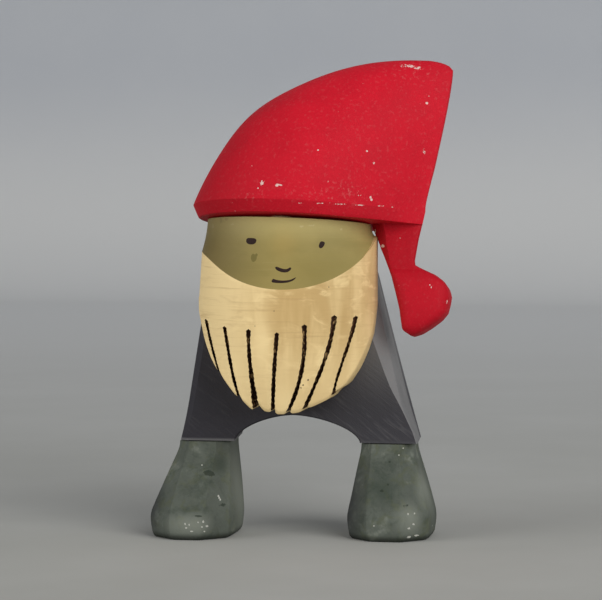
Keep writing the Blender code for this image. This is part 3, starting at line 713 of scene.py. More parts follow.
def head_grid(scene):
    """The half-round block, sawn into strands.

    Columns run round the front by theta, with x = offset + r sin(theta) and y = back - depth(z) cos(theta),
    and follow the kerfs: between two strands a column pair drops back to the kerf's floor, deeper downwards.
    Rows run up to the kerf tops, the face's lip and the seat, and return down the flat back. The face is
    scooped by l + (1 - l) (1 - (1 - s)^2) of the way s from lip to seat, where l makes a bare ledge at the
    right end. Strand ends are rounded by |u|^5. A kerf is a little wider at its top and wavers by two sines.
    The masks are 1 in the kerfs and on the face.
    """
    head = scene.nisse_head
    back = block_back(scene)
    kerf_top, cubic, width = KERFS[:, 0] * MM, KERFS[:, 1:5] * MM, KERFS[:, 5:] * MM
    parts = [
        np.linspace(0, STRAND_TIP, 5),
        np.linspace(STRAND_TIP, KERF_CLOSE, 60)[1:],
        np.linspace(KERF_CLOSE, 1, 6)[1:],
    ]
    up = np.concatenate(parts)[:, None]
    down = 1 - up
    middle = cubic[:, 0] + cubic[:, 1] * down + cubic[:, 2] * down**2 + cubic[:, 3] * down**3
    close = np.clip((up - KERF_CLOSE) / (1 - KERF_CLOSE), 0, 1)
    half = (width[:, 0] + (width[:, 1] - width[:, 0]) * down**3) / 2 * np.sqrt(1 - KERF_SHUT * close**2)
    half = half * (KERF_SLIM + KERF_MOUTH * np.exp(-((down / KERF_MOUTH_WAY) ** 2)))
    waver = 1
    for amount, waves, shift in KERF_WAVER:
        waver = waver + amount * np.sin(np.arange(len(KERFS)) * shift + up * waves)
    half = half * waver
    ends = np.full(up.shape, head.radius)
    turn_left = turn_at(head, np.concatenate([head.offset - ends, middle + half], axis=1), head.radius)
    turn_right = turn_at(head, np.concatenate([middle - half, head.offset + ends], axis=1), head.radius)
    share = np.linspace(0, 1, 14)
    strands = turn_left[..., None] + (turn_right - turn_left)[..., None] * share
    strands = np.concatenate([strands, strands[..., -1:], np.roll(strands[..., :1], -1, axis=1)], axis=2)
    theta = strands.reshape(len(up), -1)[:, :-2]

    def each_strand(across):
        """Values across one strand, with 1 in the kerf after it, for every strand in turn."""
        return np.tile(np.concatenate([across, [1, 1]]), len(KERFS) + 1)[:-2]

    sawn = each_strand(np.zeros(len(share)))
    x = head.offset + head.radius * np.sin(theta)
    low = read_table(STRAND_ENDS, x[0]) + END_ROUND * each_strand(np.abs(2 * share - 1) ** 5)
    tops_x = np.concatenate([[x[-1, 0]], cubic[:, 0], [x[-1, -1]]])
    tops_z = np.concatenate([[low[0] + SIDE_ROWS], kerf_top, [low[-1] + SIDE_ROWS]])
    high = np.interp(x[-1], tops_x, tops_z)
    z = low + (high - low) * up
    tuck = 1 - TIP_TUCK * np.clip(1 - up / STRAND_TIP, 0, 1) ** 2
    stand = block_depth(head, z) * tuck * np.cos(theta)
    floor = np.maximum(stand - head.kerf_depth * (KERF_SHALLOW + (1 - KERF_SHALLOW) * down**2), KERF_WOOD)
    stand = np.where(sawn > 0, floor, stand)
    theta = theta[-1]
    lip = lip_height(head, theta)
    chest_rows = np.linspace(0, 1, 12)[:, None]
    chest_z = high + KERF_END + (lip - high - KERF_END) * chest_rows
    chest_x = head.offset + block_radius(scene, theta, chest_z) * np.sin(theta)
    scoop = np.concatenate([[LIP_STEP], np.linspace(0, 1, 22)[1:]])[:, None]
    ledge = LEDGE_CUT * ease((theta - head.ledge_start) / (math.pi / 2 - head.ledge_start))
    cut = ledge + (1 - ledge) * (1 - (1 - scoop) ** 2)
    face_z = lip + (seat_over(scene, theta, x[-1]) - lip) * scoop
    face_x = head.offset + block_radius(scene, theta, face_z, cut) * np.sin(theta)
    face_stand = (block_depth(head, face_z) - head.scoop_front * cut) * np.cos(theta)
    front = np.concatenate(
        [
            stack(x, back - stand, z),
            stack(chest_x, back - block_depth(head, chest_z) * np.cos(theta), chest_z),
            stack(face_x, back - face_stand, face_z),
        ]
    )
    flat = front.copy()
    flat[..., 1] = back
    points = np.concatenate([flat[:1], front, flat[::-1]])
    kerf_mask, face_mask = np.zeros((2, len(points) - 1, points.shape[1] - 1))
    kerf_mask[1 : len(up) + 1] = np.maximum(sawn[:-1], sawn[1:])
    first = len(up) + len(chest_rows)
    face_mask[first : len(front)] = 1
    face_mask[first] = ledge[1:] < LEDGE_BARE
    return points, kerf_mask, face_mask


def crown_grid(scene):
    """The crown as a fan of sections about the fold, above the rim band.

    In the section turned by f from the rim, the reach is rise + (full - rise) (1 - f / 90)^fullness, swollen
    by bulge exp(-((f - b) / w)^2). Along the way t from the fold (0) to the nose (1), the half thickness goes
    from the folded edge up by sin over the flank and down by cos round the nose, and it thins by
    cos(f)^thinning. The fold is bowed by bow (1 - e) (1 - fall t^3) (f / full)^6 + corner e, where
    e = exp(-fade t), and its face slants in behind by slant (y + edge). Behind, f is a bit less at the fold.
    Past upright the reach is drawn in by tip (0.6 o^2 + 0.4 o^12), where o is 1 at the tip. The last sections
    round the folded edge, and the first close the underside. The mask lays painted shade on the rim band.
    """
    cap, head, body = scene.nisse_cap, scene.nisse_head, scene.nisse_body
    nose = head.radius + cap.overhang
    full = math.pi / 2 + cap.lean
    flank = np.linspace(0, 1, 25)[:-1]
    bend = np.linspace(0, math.pi / 2, 25)
    widest = cap.fold / (cap.fold + nose)
    way = np.concatenate([widest * flank, widest + (1 - widest) * np.sin(bend)])
    swell = np.concatenate([np.sin(flank * math.pi / 2), np.cos(bend)])
    edge = cap.edge / 2
    wall = edge * np.concatenate([np.ones(len(flank)), np.zeros(len(bend))])
    fan = np.linspace(0, full, 60)[:, None]
    over = np.clip(fan - math.pi / 2, 0, None) / cap.lean
    spread = np.clip(1 - fan / (math.pi / 2), 0, None) ** cap.fullness
    reach = cap.rise + (cap.fold + nose - cap.rise) * spread
    reach = reach - cap.tip_round * (0.6 * over**2 + 0.4 * over**12)
    reach = reach + cap.bulge * np.exp(-(((fan - BULGE_TURN) / BULGE_WIDTH) ** 2))
    thin = np.cos(fan / full * math.pi / 2) ** cap.thinning
    front, rear = (
        wall + (edge + (depth - edge) * thin - wall) * swell
        for depth in (head.depth + cap.overhang, body.thickness + cap.overhang_back)
    )
    y = np.concatenate([-front, rear[:, -2::-1]], axis=1)
    fan = fan * (1 - REAR_FALL * np.concatenate([np.zeros(len(way)), 1 - way[-2::-1]]))
    way = np.concatenate([way, way[-2::-1]])
    corner = np.exp(-CORNER_FADE * way)
    slant = SLANT * np.clip(1 - way / SLANT_WAY, 0, 1)
    bow = cap.bow * (1 - corner) * (1 - BOW_FALL * way**3) * (fan / full) ** 6
    x = cap.fold + bow + cap.corner * corner - slant * (y + edge) - reach * way * np.cos(fan)
    crown = stack(x, y, cap.rim + reach * way * np.sin(fan))
    roll = np.linspace(0, math.pi / 2, 7)[1:, None]
    last = crown[-1:]
    off = EDGE_ROUND * np.sin(roll) * np.clip(np.abs(last[..., 1]) / edge, 0, 1) * (1 - corner)
    ridge = last + (last[:, ::-1] - last) * (1 - np.cos(roll))[..., None] / 2
    ridge[..., 0] += off * math.sin(full)
    ridge[..., 1] = last[..., 1] * np.cos(roll)
    ridge[..., 2] -= off * math.cos(full)
    crease = crown[:1]
    # The rim band's rows: shares of its height, and of its inset there
    band = np.array([0, 0.06, 0.3, 0.6, 0.85, 0.97])[:, None]
    inset = np.array([1.25, 1.02, 0.72, 0.40, 0.12, 0.0])[:, None] * cap.rim_inset
    rim_x = cap.fold - (cap.fold - crease[..., 0]) * (1 - inset / (cap.fold + nose))
    rim_x = rim_x + CORNER_TUCK * (way == 0) * (band - 1)
    rim = stack(rim_x, crease[..., 1] * (1 - inset / head.depth), cap.rim * band)
    under = rim[:1].copy()
    under[..., 0] += slant * np.minimum(under[..., 1], 0)
    under[..., 1] = 0
    points = np.concatenate([under, rim, crown[1:], ridge])
    rim_painted_shade = np.zeros(len(points) - 1)
    rim_painted_shade[: len(rim)] = RIM_PAINTED_SHADE
    return points, rim_painted_shade[:, None] * ease(way / RIM_SHADE_WAY)[None, :]


def tail_grid(cap):
    """The tail and the bobble as one strip of sections down from the crown.

    At a depth d the section |x/a|^n + |y/b|^n = 1 lies between the left and the right edge, and n falls from
    the tail to the bobble. The bobble's thickness follows (1 - |(d - drop) / r|^p)^(1/p). The corner at the
    left front is cut to a facet that runs out on the bobble, and the tail's right side is sheared inwards by
    shear y. The mask darkens the red of the tail more than that of the bobble.
    """
    radius = cap.bobble_height / 2
    upper = np.linspace(-cap.rim, cap.notch, 24)[:-1]
    round_in = cap.bobble_drop - radius * np.cos(np.linspace(0, math.pi, 48))
    d = np.concatenate([[-3 * cap.rim], upper, round_in])[:, None]
    left, right = read_table(TAIL_LEFT, d), read_table(TAIL_RIGHT, d)
    from_middle = np.abs((d - cap.bobble_drop) / radius)
    ball = cap.bobble_thickness * np.clip(1 - from_middle**BOBBLE_POWER, 1e-6, 1) ** (1 / BOBBLE_POWER)
    # The tail is thinner where it leaves the crown
    thinned = np.array([0.5, 0.72, 0.88, 1.0]) * cap.tail_thickness
    tail = np.interp(d, np.array([-3, -1, 1, 3]) * cap.rim, thinned)
    thick = np.where(d < cap.bobble_drop, np.maximum(tail, ball), ball)
    into = ease((d - cap.notch + BOBBLE_START) / (cap.bobble_drop - cap.notch))
    square = TAIL_SQUARE - BOBBLE_SOFTER * into
    across, along = rounded(np.linspace(0, 2 * math.pi, 72, endpoint=False)[None, :], 2 / square)
    x = (left + right) / 2 + (right - left) / 2 * across
    y = thick / 2 * along
    facet = cap.facet * np.clip(1 - d / (FACET_WAY * cap.notch), 0, 1)
    short = np.clip(facet - (x - left) - (y + thick / 2), 0, None)
    x = x - TAIL_SHEAR * (1 - into) * (y + thick / 2) * (x - left) / (right - left)
    points = with_poles(stack(x + short / 2, y + short / 2, -d))
    return points, np.repeat(1 - BOBBLE_LIGHTER * np.concatenate([into[:1], into]), points.shape[1], axis=1)


def seated(scene, points):
    """Moves points of the seat's frame to the figure's frame: middle + turn p."""
    return points @ seat_turn(scene.nisse_cap).T + seat_middle(scene)


def painted(scene, x, z, out):
    """Paint laid on the face: domed by 1 - out^2 from its middle (0) to its edge (1), and a bit sunk in."""
    return stack(x, face_point(scene, x, z) - PAINT_DOME * (1 - out**2) + PAINT_SINK, z)


def eye_grid(scene, eye):
    """A brush dot: rings of an uneven rounded square, laid on the face."""
    x, z, wide, tall, tilt = eye * np.array([MM, MM, MM, MM, math.pi / 180])
    ring = np.linspace(0, 1, 8)[:, None]
    around = np.linspace(0, 2 * math.pi, 40, endpoint=False)[None, :]
    uneven = 1 + 0.05 * np.sin(2 * around + 0.6) + 0.04 * np.sin(3 * around)
    across, along = rounded(around, 0.8)
    u = ring * wide * uneven * across
    v = ring * tall * uneven * along
    px = x + u * math.cos(tilt) - v * math.sin(tilt)
    pz = z + u * math.sin(tilt) + v * math.cos(tilt)
    return painted(scene, px, pz, ring)


def stroke_grid(scene, stroke):
    """A brush stroke: a domed strip along a smooth way through the stroke's points, rounded at its ends."""
    knots = np.linspace(0, 1, len(stroke))
    t = np.linspace(0, 1, 40)
    x, z, wide = (np.polyval(np.polyfit(knots, column, 3), t)[:, None] * MM for column in stroke.T)
    wide = wide * np.sqrt(np.clip(1 - np.abs(2 * t - 1) ** 9, 0, 1))[:, None]
    slope = np.stack([np.gradient(x, axis=0), np.gradient(z, axis=0)])
    slope = slope / np.linalg.norm(slope, axis=0)
    k = np.linspace(-1, 1, 9)[None, :]
    return painted(scene, x - slope[1] * wide * k, z + slope[0] * wide * k, k)


def fill(tree, node, inputs):
    """Gives a node's sockets a constant or another node's output, and returns the node."""
    for key, value in inputs.items():
        if isinstance(value, bpy.types.NodeSocket):
            tree.links.new(value, node.inputs[key])
        else:
            node.inputs[key].default_value = value
    return node


def put(tree, kind, inputs=None, **settings):
    """Adds a node with these settings and inputs."""
    node = tree.nodes.new(kind)
    for key, value in settings.items():
        setattr(node, key, value)
    return fill(tree, node, inputs or {})


def calc(tree, operation, first, second=0.0, third=0.0):
    """A Math node's output."""
    return put(tree, "ShaderNodeMath", {0: first, 1: second, 2: third}, operation=operation).outputs[0]


def times(tree, first, second):
    """The product of two values."""
    return calc(tree, "MULTIPLY", first, second)


def step_up(tree, value, low, high, start=0.0, end=1.0):
    """A smooth step of a value from low to high, as start to end."""
    inputs = {"Value": value, "From Min": low, "From Max": high, "To Min": start, "To Max": end}
    return put(tree, "ShaderNodeMapRange", inputs, interpolation_type="SMOOTHSTEP").outputs["Result"]


def noise(tree, vector, scale, detail=3.0, rough=0.55, distort=0.0):
    """Noise of a scale in waves per metre."""
    inputs = {"Vector": vector, "Scale": scale, "Detail": detail, "Roughness": rough, "Distortion": distort}
    return put(tree, "ShaderNodeTexNoise", inputs).outputs["Fac"]


def drawn_noise(tree, vector, across, up, *finish):
    """Noise drawn out along one way: so many waves per metre in X and Y, and so many in Z."""
    inputs = {"Vector": vector, "Scale": (across, across, up)}
    return noise(tree, put(tree, "ShaderNodeMapping", inputs).outputs["Vector"], 1.0, *finish)


def tint(tree, share, first, second, blend="MIX"):
    """A mix of two colours."""
    inputs = {0: share}
    for key, value in ((6, first), (7, second)):
        inputs[key] = value if isinstance(value, bpy.types.NodeSocket) else (*value[:3], 1)
    return put(tree, "ShaderNodeMix", inputs, data_type="RGBA", blend_type=blend).outputs[2]


def axes(tree, vector):
    """The X, Y and Z of a place."""
    return put(tree, "ShaderNodeSeparateXYZ", {"Vector": vector}).outputs


def face_mask(tree, name):
    """A mask that the piece's faces carry."""
    return put(tree, "ShaderNodeAttribute", attribute_name=name).outputs["Fac"]


def new_group(name, inputs, outputs):
    """An empty shader group with sockets (name, kind, default); returns it, its given values and its end."""
    group = bpy.data.node_groups.new(name, "ShaderNodeTree")
    for label, kind, default in inputs:
        socket = group.interface.new_socket(label, in_out="INPUT", socket_type="NodeSocket" + kind)
        socket.default_value = default
    for label, kind in outputs:
        group.interface.new_socket(label, in_out="OUTPUT", socket_type="NodeSocket" + kind)
    return group, put(group, "NodeGroupInput").outputs, put(group, "NodeGroupOutput")


def chip_group():
    """A chipped or soft place: how near its middle is, and noise cut at a level that falls off from there."""
    inputs = [
        ("Vector", "Vector", (0, 0, 0)),
        ("Middle", "Vector", (0, 0, 0)),
        ("Reach", "Vector", (0.002, 0.002, 0.002)),
        ("Grain", "Float", 900.0),
        ("Cover", "Float", 0.5),
    ]
    group, given, out = new_group("chipped place", inputs, [("Mask", "Float"), ("Near", "Float")])
    away = given["Vector"]
    for operation, other in (("SUBTRACT", given["Middle"]), ("DIVIDE", given["Reach"])):
        away = put(group, "ShaderNodeVectorMath", {0: away, 1: other}, operation=operation).outputs[0]
    away = put(group, "ShaderNodeVectorMath", {0: away}, operation="LENGTH").outputs["Value"]
    near = step_up(group, away, 1.0, 0.0)
    fleck = noise(group, given["Vector"], given["Grain"], 3.0, 0.6)
    level = calc(group, "MULTIPLY_ADD", near, given["Cover"], fleck)
    mask = times(group, step_up(group, level, 0.86, 0.93), step_up(group, away, 1.0, 0.85))
    fill(group, out, {"Mask": mask, "Near": near})
    return group


def paint_group():
    """Brushed paint on carved wood: cloudy strength, fine speckle, and a height for its uneven skin."""
    inputs = [
        ("Vector", "Vector", (0, 0, 0)),
        ("Paint", "Color", (0.5, 0.5, 0.5, 1)),
        ("Cloud", "Float", 0.12),
        ("Speckle", "Float", 0.10),
    ]
    outputs = [("Colour", "Color"), ("Height", "Float"), ("Gloss", "Float")]
    group, given, out = new_group("brushed paint", inputs, outputs)
    cloud = noise(group, given["Vector"], 95.0, 4.0, 0.55)
    speck = noise(group, given["Vector"], 1500.0, 2.0, 0.6)
    drag = drawn_noise(group, given["Vector"], 500, 120, 3.0)
    value = 0.5
    for pattern, amount in ((cloud, "Cloud"), (speck, "Speckle")):
        value = calc(group, "MULTIPLY_ADD", calc(group, "SUBTRACT", pattern, 0.5), given[amount], value)
    value = times(group, value, 2.0)
    shade = put(group, "ShaderNodeCombineXYZ", {0: value, 1: value, 2: value}).outputs[0]
    skin = {
        "Colour": tint(group, 1.0, given["Paint"], shade, "MULTIPLY"),
        "Height": calc(group, "MULTIPLY_ADD", drag, 0.6, times(group, speck, 0.4)),
        "Gloss": calc(group, "MULTIPLY_ADD", cloud, 0.25, 0.36),
    }
    fill(group, out, skin)
    return group


def use(tree, name, make, inputs):
    """Places a node group in a material; the group is built once."""
    group = bpy.data.node_groups.get(name) or make()
    return put(tree, "ShaderNodeGroup", inputs, node_tree=group).outputs


def brushed(tree, vector, paint, cloud):
    """Brushed paint of a colour: its colour, height and gloss."""
    return use(tree, "brushed paint", paint_group, {"Vector": vector, "Paint": (*paint, 1), "Cloud": cloud})


def spots(tree, vector, places):
    """The union of places from a table: one with grain and cover is chipped, and one without is soft."""
    total = 0.0
    for place in places:
        middle, reach = np.array(place[:3]) * MM + PLANK, np.array(place[3:6]) * MM
        inputs = {"Vector": vector, "Middle": tuple(middle), "Reach": tuple(reach)}
        inputs.update(zip(("Grain", "Cover"), place[6:]))
        found = use(tree, "chipped place", chip_group, inputs)["Mask" if place[6:] else "Near"]
        total = calc(tree, "MAXIMUM", found, total)
    return total


def spotted(tree, vector, base, *layers):
    """A base with colours laid over it at places: a layer is places, amount and colour."""
    for places, amount, over in layers:
        base = tint(tree, times(tree, spots(tree, vector, places), amount), base, over)
    return base


def graded(tree, base, *layers):
    """A base with colours laid over it by smooth steps: a layer is value, low, high, amount and colour."""
    for value, low, high, amount, over in layers:
        base = tint(tree, step_up(tree, value, low, high, 0.0, amount), base, over)
    return base


def new_material(name):
    """A material with a Principled shader; returns it, its tree and Object coordinates."""
    material = bpy.data.materials.new(name)
    material.use_nodes = True
    tree = material.node_tree
    return material, tree, put(tree, "ShaderNodeTexCoord").outputs["Object"]


def dress(material, base, roughness, specular, height=None, strength=0.5, distance=0.0003):
    """Gives a material's shader its colour, roughness and shine, and raises the surface by a height."""
    tree = material.node_tree
    inputs = {"Base Color": base, "Roughness": roughness, "Specular IOR Level": specular}
    if height is not None:
        relief = {"Height": height, "Strength": strength, "Distance": distance}
        inputs["Normal"] = put(tree, "ShaderNodeBump", relief).outputs["Normal"]
    fill(tree, tree.nodes["Principled BSDF"], inputs)
    return material


def red_paint(cap):
    """Red cap paint: cloudy and finely speckled, chipped to a pale ground at rim, point and bobble, with
    painted shade on the rim band and the crown's left and a darker tail.
    """
    material, tree, place = new_material("red paint")
    skin = brushed(tree, place, cap.paint, 0.16)
    strewn = step_up(tree, noise(tree, place, 700.0, 1.0, 0.4), 0.79, 0.83)
    chips = calc(tree, "MAXIMUM", spots(tree, place, CAP_CHIPS), times(tree, strewn, 0.35))
    pebble = noise(tree, place, 800.0, 4.0, 0.62)
    share = calc(tree, "MULTIPLY_ADD", spots(tree, place, CAP_SCUFFS), 0.14, 0.06)
    shade = tint(tree, times(tree, step_up(tree, pebble, 0.52, 0.78), share), skin["Colour"], cap.chip)
    # Painted shade on the rim band, which slopes in under the crown; the tail is darker, the bobble less so
    shade = tint(tree, times(tree, face_mask(tree, "below"), 0.54), shade, cap.shade)
    # Painted shade: the crown's left is darkened where it turns up and away from the lamps
    shade = graded(tree, shade, (axes(tree, place)["X"], 0.010, -0.034, 0.44, cap.shade))
    shade = tint(tree, times(tree, chips, 0.85), shade, cap.chip)
    rough = calc(tree, "ADD", skin["Gloss"], 0.14)
    height = calc(tree, "MULTIPLY_ADD", pebble, 1.2, skin["Height"])
    return dress(material, shade, rough, 0.12, calc(tree, "SUBTRACT", height, chips))


def blue_grey_paint(body):
    """Dark body paint over knife-cut wood: slanting tool marks, and the front's right and the side facets
    paler, by painted light and by wear.
    """
    material, tree, place = new_material("blue-grey paint")
    skin = brushed(tree, place, body.paint, 0.30)
    turned = put(tree, "ShaderNodeMapping", {"Vector": place, "Rotation": (0, TOOL_SLANT, 0)})
    marks = drawn_noise(tree, turned.outputs["Vector"], 120, 1100, 3.0, 0.6)
    cloud = drawn_noise(tree, place, 60, 40)
    across, _, height = axes(tree, place)
    # Paler places, partly wear and partly painted light: facets, legs' foot, upper right, marks to the right
    rubbed_and_lit = 0.0
    for where, amount in (
        (face_mask(tree, "side"), step_up(tree, cloud, 0.25, 0.70, 0.78, 1.0)),
        (step_up(tree, height, 0.0350, 0.0340), step_up(tree, across, 0.02, -0.01, 0.1, 0.55)),
        (step_up(tree, height, 0.040, 0.072, 0.0, 0.5), step_up(tree, across, 0.012, 0.030)),
        (step_up(tree, marks, 0.50, 0.75), step_up(tree, across, -0.01, 0.03, 0.05, 0.20)),
    ):
        rubbed_and_lit = calc(tree, "MAXIMUM", times(tree, where, amount), rubbed_and_lit)
    # Painted light: the front's paint is laid paler towards the right, where the lamp falls
    front = graded(tree, skin["Colour"], (across, -0.012, 0.022, 0.32, FRONT_PAINTED_LIGHT))
    # Painted light: the facets are laid paler higher up, against the shadow the bobble casts there
    worn_and_lit = graded(tree, body.worn_and_lit, (height, 0.050, 0.080, 1.0, FACET_PAINTED_LIGHT_ABOVE))
    shade = spotted(tree, place, tint(tree, rubbed_and_lit, front, worn_and_lit), (BODY_CHIPS, 1.0, BARE_CHIP))
    rough = calc(tree, "ADD", skin["Gloss"], 0.12)
    return dress(material, shade, rough, 0.3, calc(tree, "MULTIPLY_ADD", marks, 1.2, skin["Height"]), 0.45)


def grey_green_paint(boots):
    """Mottled boot paint: dark cloudy patches, blots, paler toes and white scratches, with painted light,
    painted shade and a painted shadow.
    """
    material, tree, place = new_material("grey-green paint")
    skin = brushed(tree, place, boots.paint, 0.35)
    mottle = noise(tree, place, 130.0, 5.0, 0.65, 0.6)
    fine = noise(tree, place, 700.0, 3.0, 0.6)
    patch = noise(tree, place, 210.0, 4.0, 0.6, 0.8)
    dark = step_up(tree, calc(tree, "MULTIPLY_ADD", fine, 0.35, mottle), 0.60, 0.92)
    light = step_up(tree, calc(tree, "MULTIPLY_ADD", fine, 0.3, noise(tree, place, 90.0, 3.0)), 0.70, 0.92)
    # Paler places: wear, and painted light on the left boot's right flank
    rubbed_and_lit = calc(tree, "MAXIMUM", light, spots(tree, place, BOOT_LIGHT_AND_WEAR))
    shade = graded(tree, skin["Colour"], (patch, 0.48, 0.66, 0.55, boots.olive))
    shade = tint(tree, times(tree, dark, 0.6), shade, boots.dark)
    shade = tint(tree, times(tree, rubbed_and_lit, 0.72), shade, boots.worn_and_lit)
    # Darker patches, then painted shade on the boots' left facets, then blots
    shade = spotted(tree, place, shade, (BOOT_DARKS, 0.65, boots.dark), *BOOT_LAYERS)
    # Painted shadow: the paint darkens towards the floor along the sole's edge
    shade = graded(tree, shade, (axes(tree, place)["Z"], 0.0030, 0.0006, 0.7, SOLE_PAINTED_SHADOW))
    shade = spotted(tree, place, shade, (BOOT_SCRATCHES, 0.60, SCRATCHED))
    rough = calc(tree, "MULTIPLY_ADD", dark, -0.08, calc(tree, "ADD", skin["Gloss"], 0.2))
    return dress(material, shade, rough, 0.12, calc(tree, "MULTIPLY_ADD", mottle, 0.8, skin["Height"]))


def birch_and_stain(head):
    """Bare birch with fine cross grain and pale bands, an olive stained face, and scorched kerf walls;
    painted light pales the beard's left, lower part and right edge and the face's top and right, and painted
    shade deepens the stain on the face's left.
    """
    material, tree, place = new_material("birch and stain")
    grain = drawn_noise(tree, place, 45, 900, 4.0, 0.6, 0.3)
    bands = drawn_noise(tree, place, 150, 30, 3.0, 0.5, 0.4)
    figure = drawn_noise(tree, place, 90, 170, 4.0, 0.55, 1.2)
    curl = drawn_noise(tree, place, 70, 260, 4.0, 0.55, 1.5)
    cloud = drawn_noise(tree, place, 70, 110, 4.0, 0.55, 0.5)
    fibre = drawn_noise(tree, place, 700, 420, 3.0, 0.6)
    across, _, height = axes(tree, place)
    wood = graded(
        tree,
        head.birch,
        # Painted light: the beard's left is laid paler where it turns away from the lamps
        (across, 0.002, -0.026, 0.85, head.pale),
        (bands, 0.40, 0.72, 0.5, head.pale),
        (figure, 0.52, 0.70, 0.6, head.pale),
        (curl, 0.55, 0.75, 0.28, head.tan),
        (grain, 0.50, 0.78, 0.6, head.tan),
        # Painted light: the lower beard, which leans down, is laid paler, and again the left and the right
        # edge
        (height, 0.080, 0.056, 0.55, head.pale),
        (across, 0.002, -0.026, 0.25, head.pale),
        (across, 0.018, 0.029, 0.30, head.pale),
    )
    wood = spotted(tree, place, wood, (BEARD_LIGHTS, 0.8, head.pale), (BEARD_SPECKS, 1.0, BARK_SPECK))
    layers = (cloud, 0.35, 0.70, 0.35, STAIN_CLOUD), (grain, 0.55, 0.80, 0.25, STAIN_GRAIN)
    stain = graded(tree, head.stain, *layers)
    stain = graded(
        tree,
        spotted(tree, place, stain, *FACE_LAYERS),
        (height, 0.108, 0.094, 0.28, STAIN_LOW),
        # Painted light on the face's top under the rim and on its right; painted shade over the real stain on
        # its left
        (height, 0.1040, 0.1120, 0.50, FACE_PAINTED_LIGHT_TOP),
        (across, 0.008, 0.026, 0.15, FACE_PAINTED_LIGHT_RIGHT),
        (across, -0.002, -0.036, 0.70, STAIN_AND_SHADE_LEFT),
    )
    shade = tint(tree, face_mask(tree, "face"), wood, stain)
    burnt = tint(tree, times(tree, step_up(tree, fibre, 0.55, 0.64), 0.85), head.scorch, TORN_FIBRE)
    shade = tint(tree, face_mask(tree, "kerf"), shade, burnt)
    rough = step_up(tree, grain, 0.3, 0.8, 0.48, 0.62)
    return dress(material, shade, rough, 0.12, calc(tree, "MULTIPLY_ADD", figure, 0.5, grain), 0.25, 0.0002)


def face_ink(head):
    """Thin dark paint of the eyes, the nose and the mouth."""
    material, tree, place = new_material("face ink")
    thin = noise(tree, place, 1400.0, 2.0)
    return dress(material, graded(tree, head.ink, (thin, 0.55, 0.8, 0.35, THIN_INK)), 0.7, 0.2)


def backdrop_material(stage):
    """Plain pale floor and backdrop with a barely seen grain."""
    material, tree, place = new_material("pale backdrop")
    _, away, height = axes(tree, place)
    shade = graded(
        tree,
        stage.floor,
        (calc(tree, "ADD", away, height), -0.2, 1.6, 1.0, stage.wall),
        (height, 0.06, 0.26, 1.0, stage.upper_wall),
        (noise(tree, place, 6.0, 4.0), 0.3, 0.8, 0.15, stage.wall),
    )
    return dress(material, shade, 0.8, 0.2)


class NISSE_OT_body(bpy.types.Operator):
    """Carves the body plank with its two legs"""

    bl_idname = "nisse.body"
    bl_label = "Body"

    def execute(self, context):
        rows, worn_and_lit_side = body_grid(context.scene)
        material = blue_grey_paint(context.scene.nisse_body)
        masks = {"side": [worn_and_lit_side]}
        piece = make_piece("carved_body", [(rows, True)], material, masks, sharp=20.0)
        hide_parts("body")
        return {"FINISHED"}


class NISSE_OT_boots(bpy.types.Operator):
    """Carves the two boots"""

    bl_idname = "nisse.boots"
    bl_label = "Boots"

    def execute(self, context):
        boots = context.scene.nisse_boots
        material = grey_green_paint(boots)
        for node, stance in BOOT_STANCE.items():
            grid = boot_grid(boots, stance)
            piece = make_piece(f"carved_{node}", [(grid, True)], material, sharp=24.0)
            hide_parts(node)
        return {"FINISHED"}


class NISSE_OT_head(bpy.types.Operator):
    """Carves the head block: the scooped face and the sawn beard"""

    bl_idname = "nisse.head"
    bl_label = "Head"

    def execute(self, context):
        points, kerf_mask, stained = head_grid(context.scene)
        material = birch_and_stain(context.scene.nisse_head)
        masks = {"kerf": [kerf_mask], "face": [stained]}
        piece = make_piece("carved_head", [(points, False)], material, masks, sharp=32.0)
        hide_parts("head")
        return {"FINISHED"}


class NISSE_OT_face(bpy.types.Operator):
    """Paints the eyes, the nose and the mouth on the face"""

    bl_idname = "nisse.face"
    bl_label = "Face Paint"

    def execute(self, context):
        scene = context.scene
        material = face_ink(scene.nisse_head)
        for name, eye in zip(("eye_left", "eye_right"), EYES):
            make_piece(name, [(eye_grid(scene, eye), True)], material)
        for name, stroke in (("nose", NOSE_STROKE), ("mouth", MOUTH_STROKE)):
            make_piece(name, [(stroke_grid(scene, stroke), False)], material)
        return {"FINISHED"}


class NISSE_OT_cap(bpy.types.Operator):
    """Carves the cap: crown, rim band, folded tail and bobble"""

    bl_idname = "nisse.cap"
    bl_label = "Cap"

    def execute(self, context):
        scene = context.scene
        material = red_paint(scene.nisse_cap)
        crown, rim_painted_shade = crown_grid(scene)
        tail, on_tail = tail_grid(scene.nisse_cap)
        grids = [(seated(scene, crown), True), (seated(scene, tail), True)]
        masks = {"below": [rim_painted_shade, on_tail]}
        piece = make_piece("carved_cap", grids, material, masks, sharp=28.0)
        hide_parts("cap")
        return {"FINISHED"}


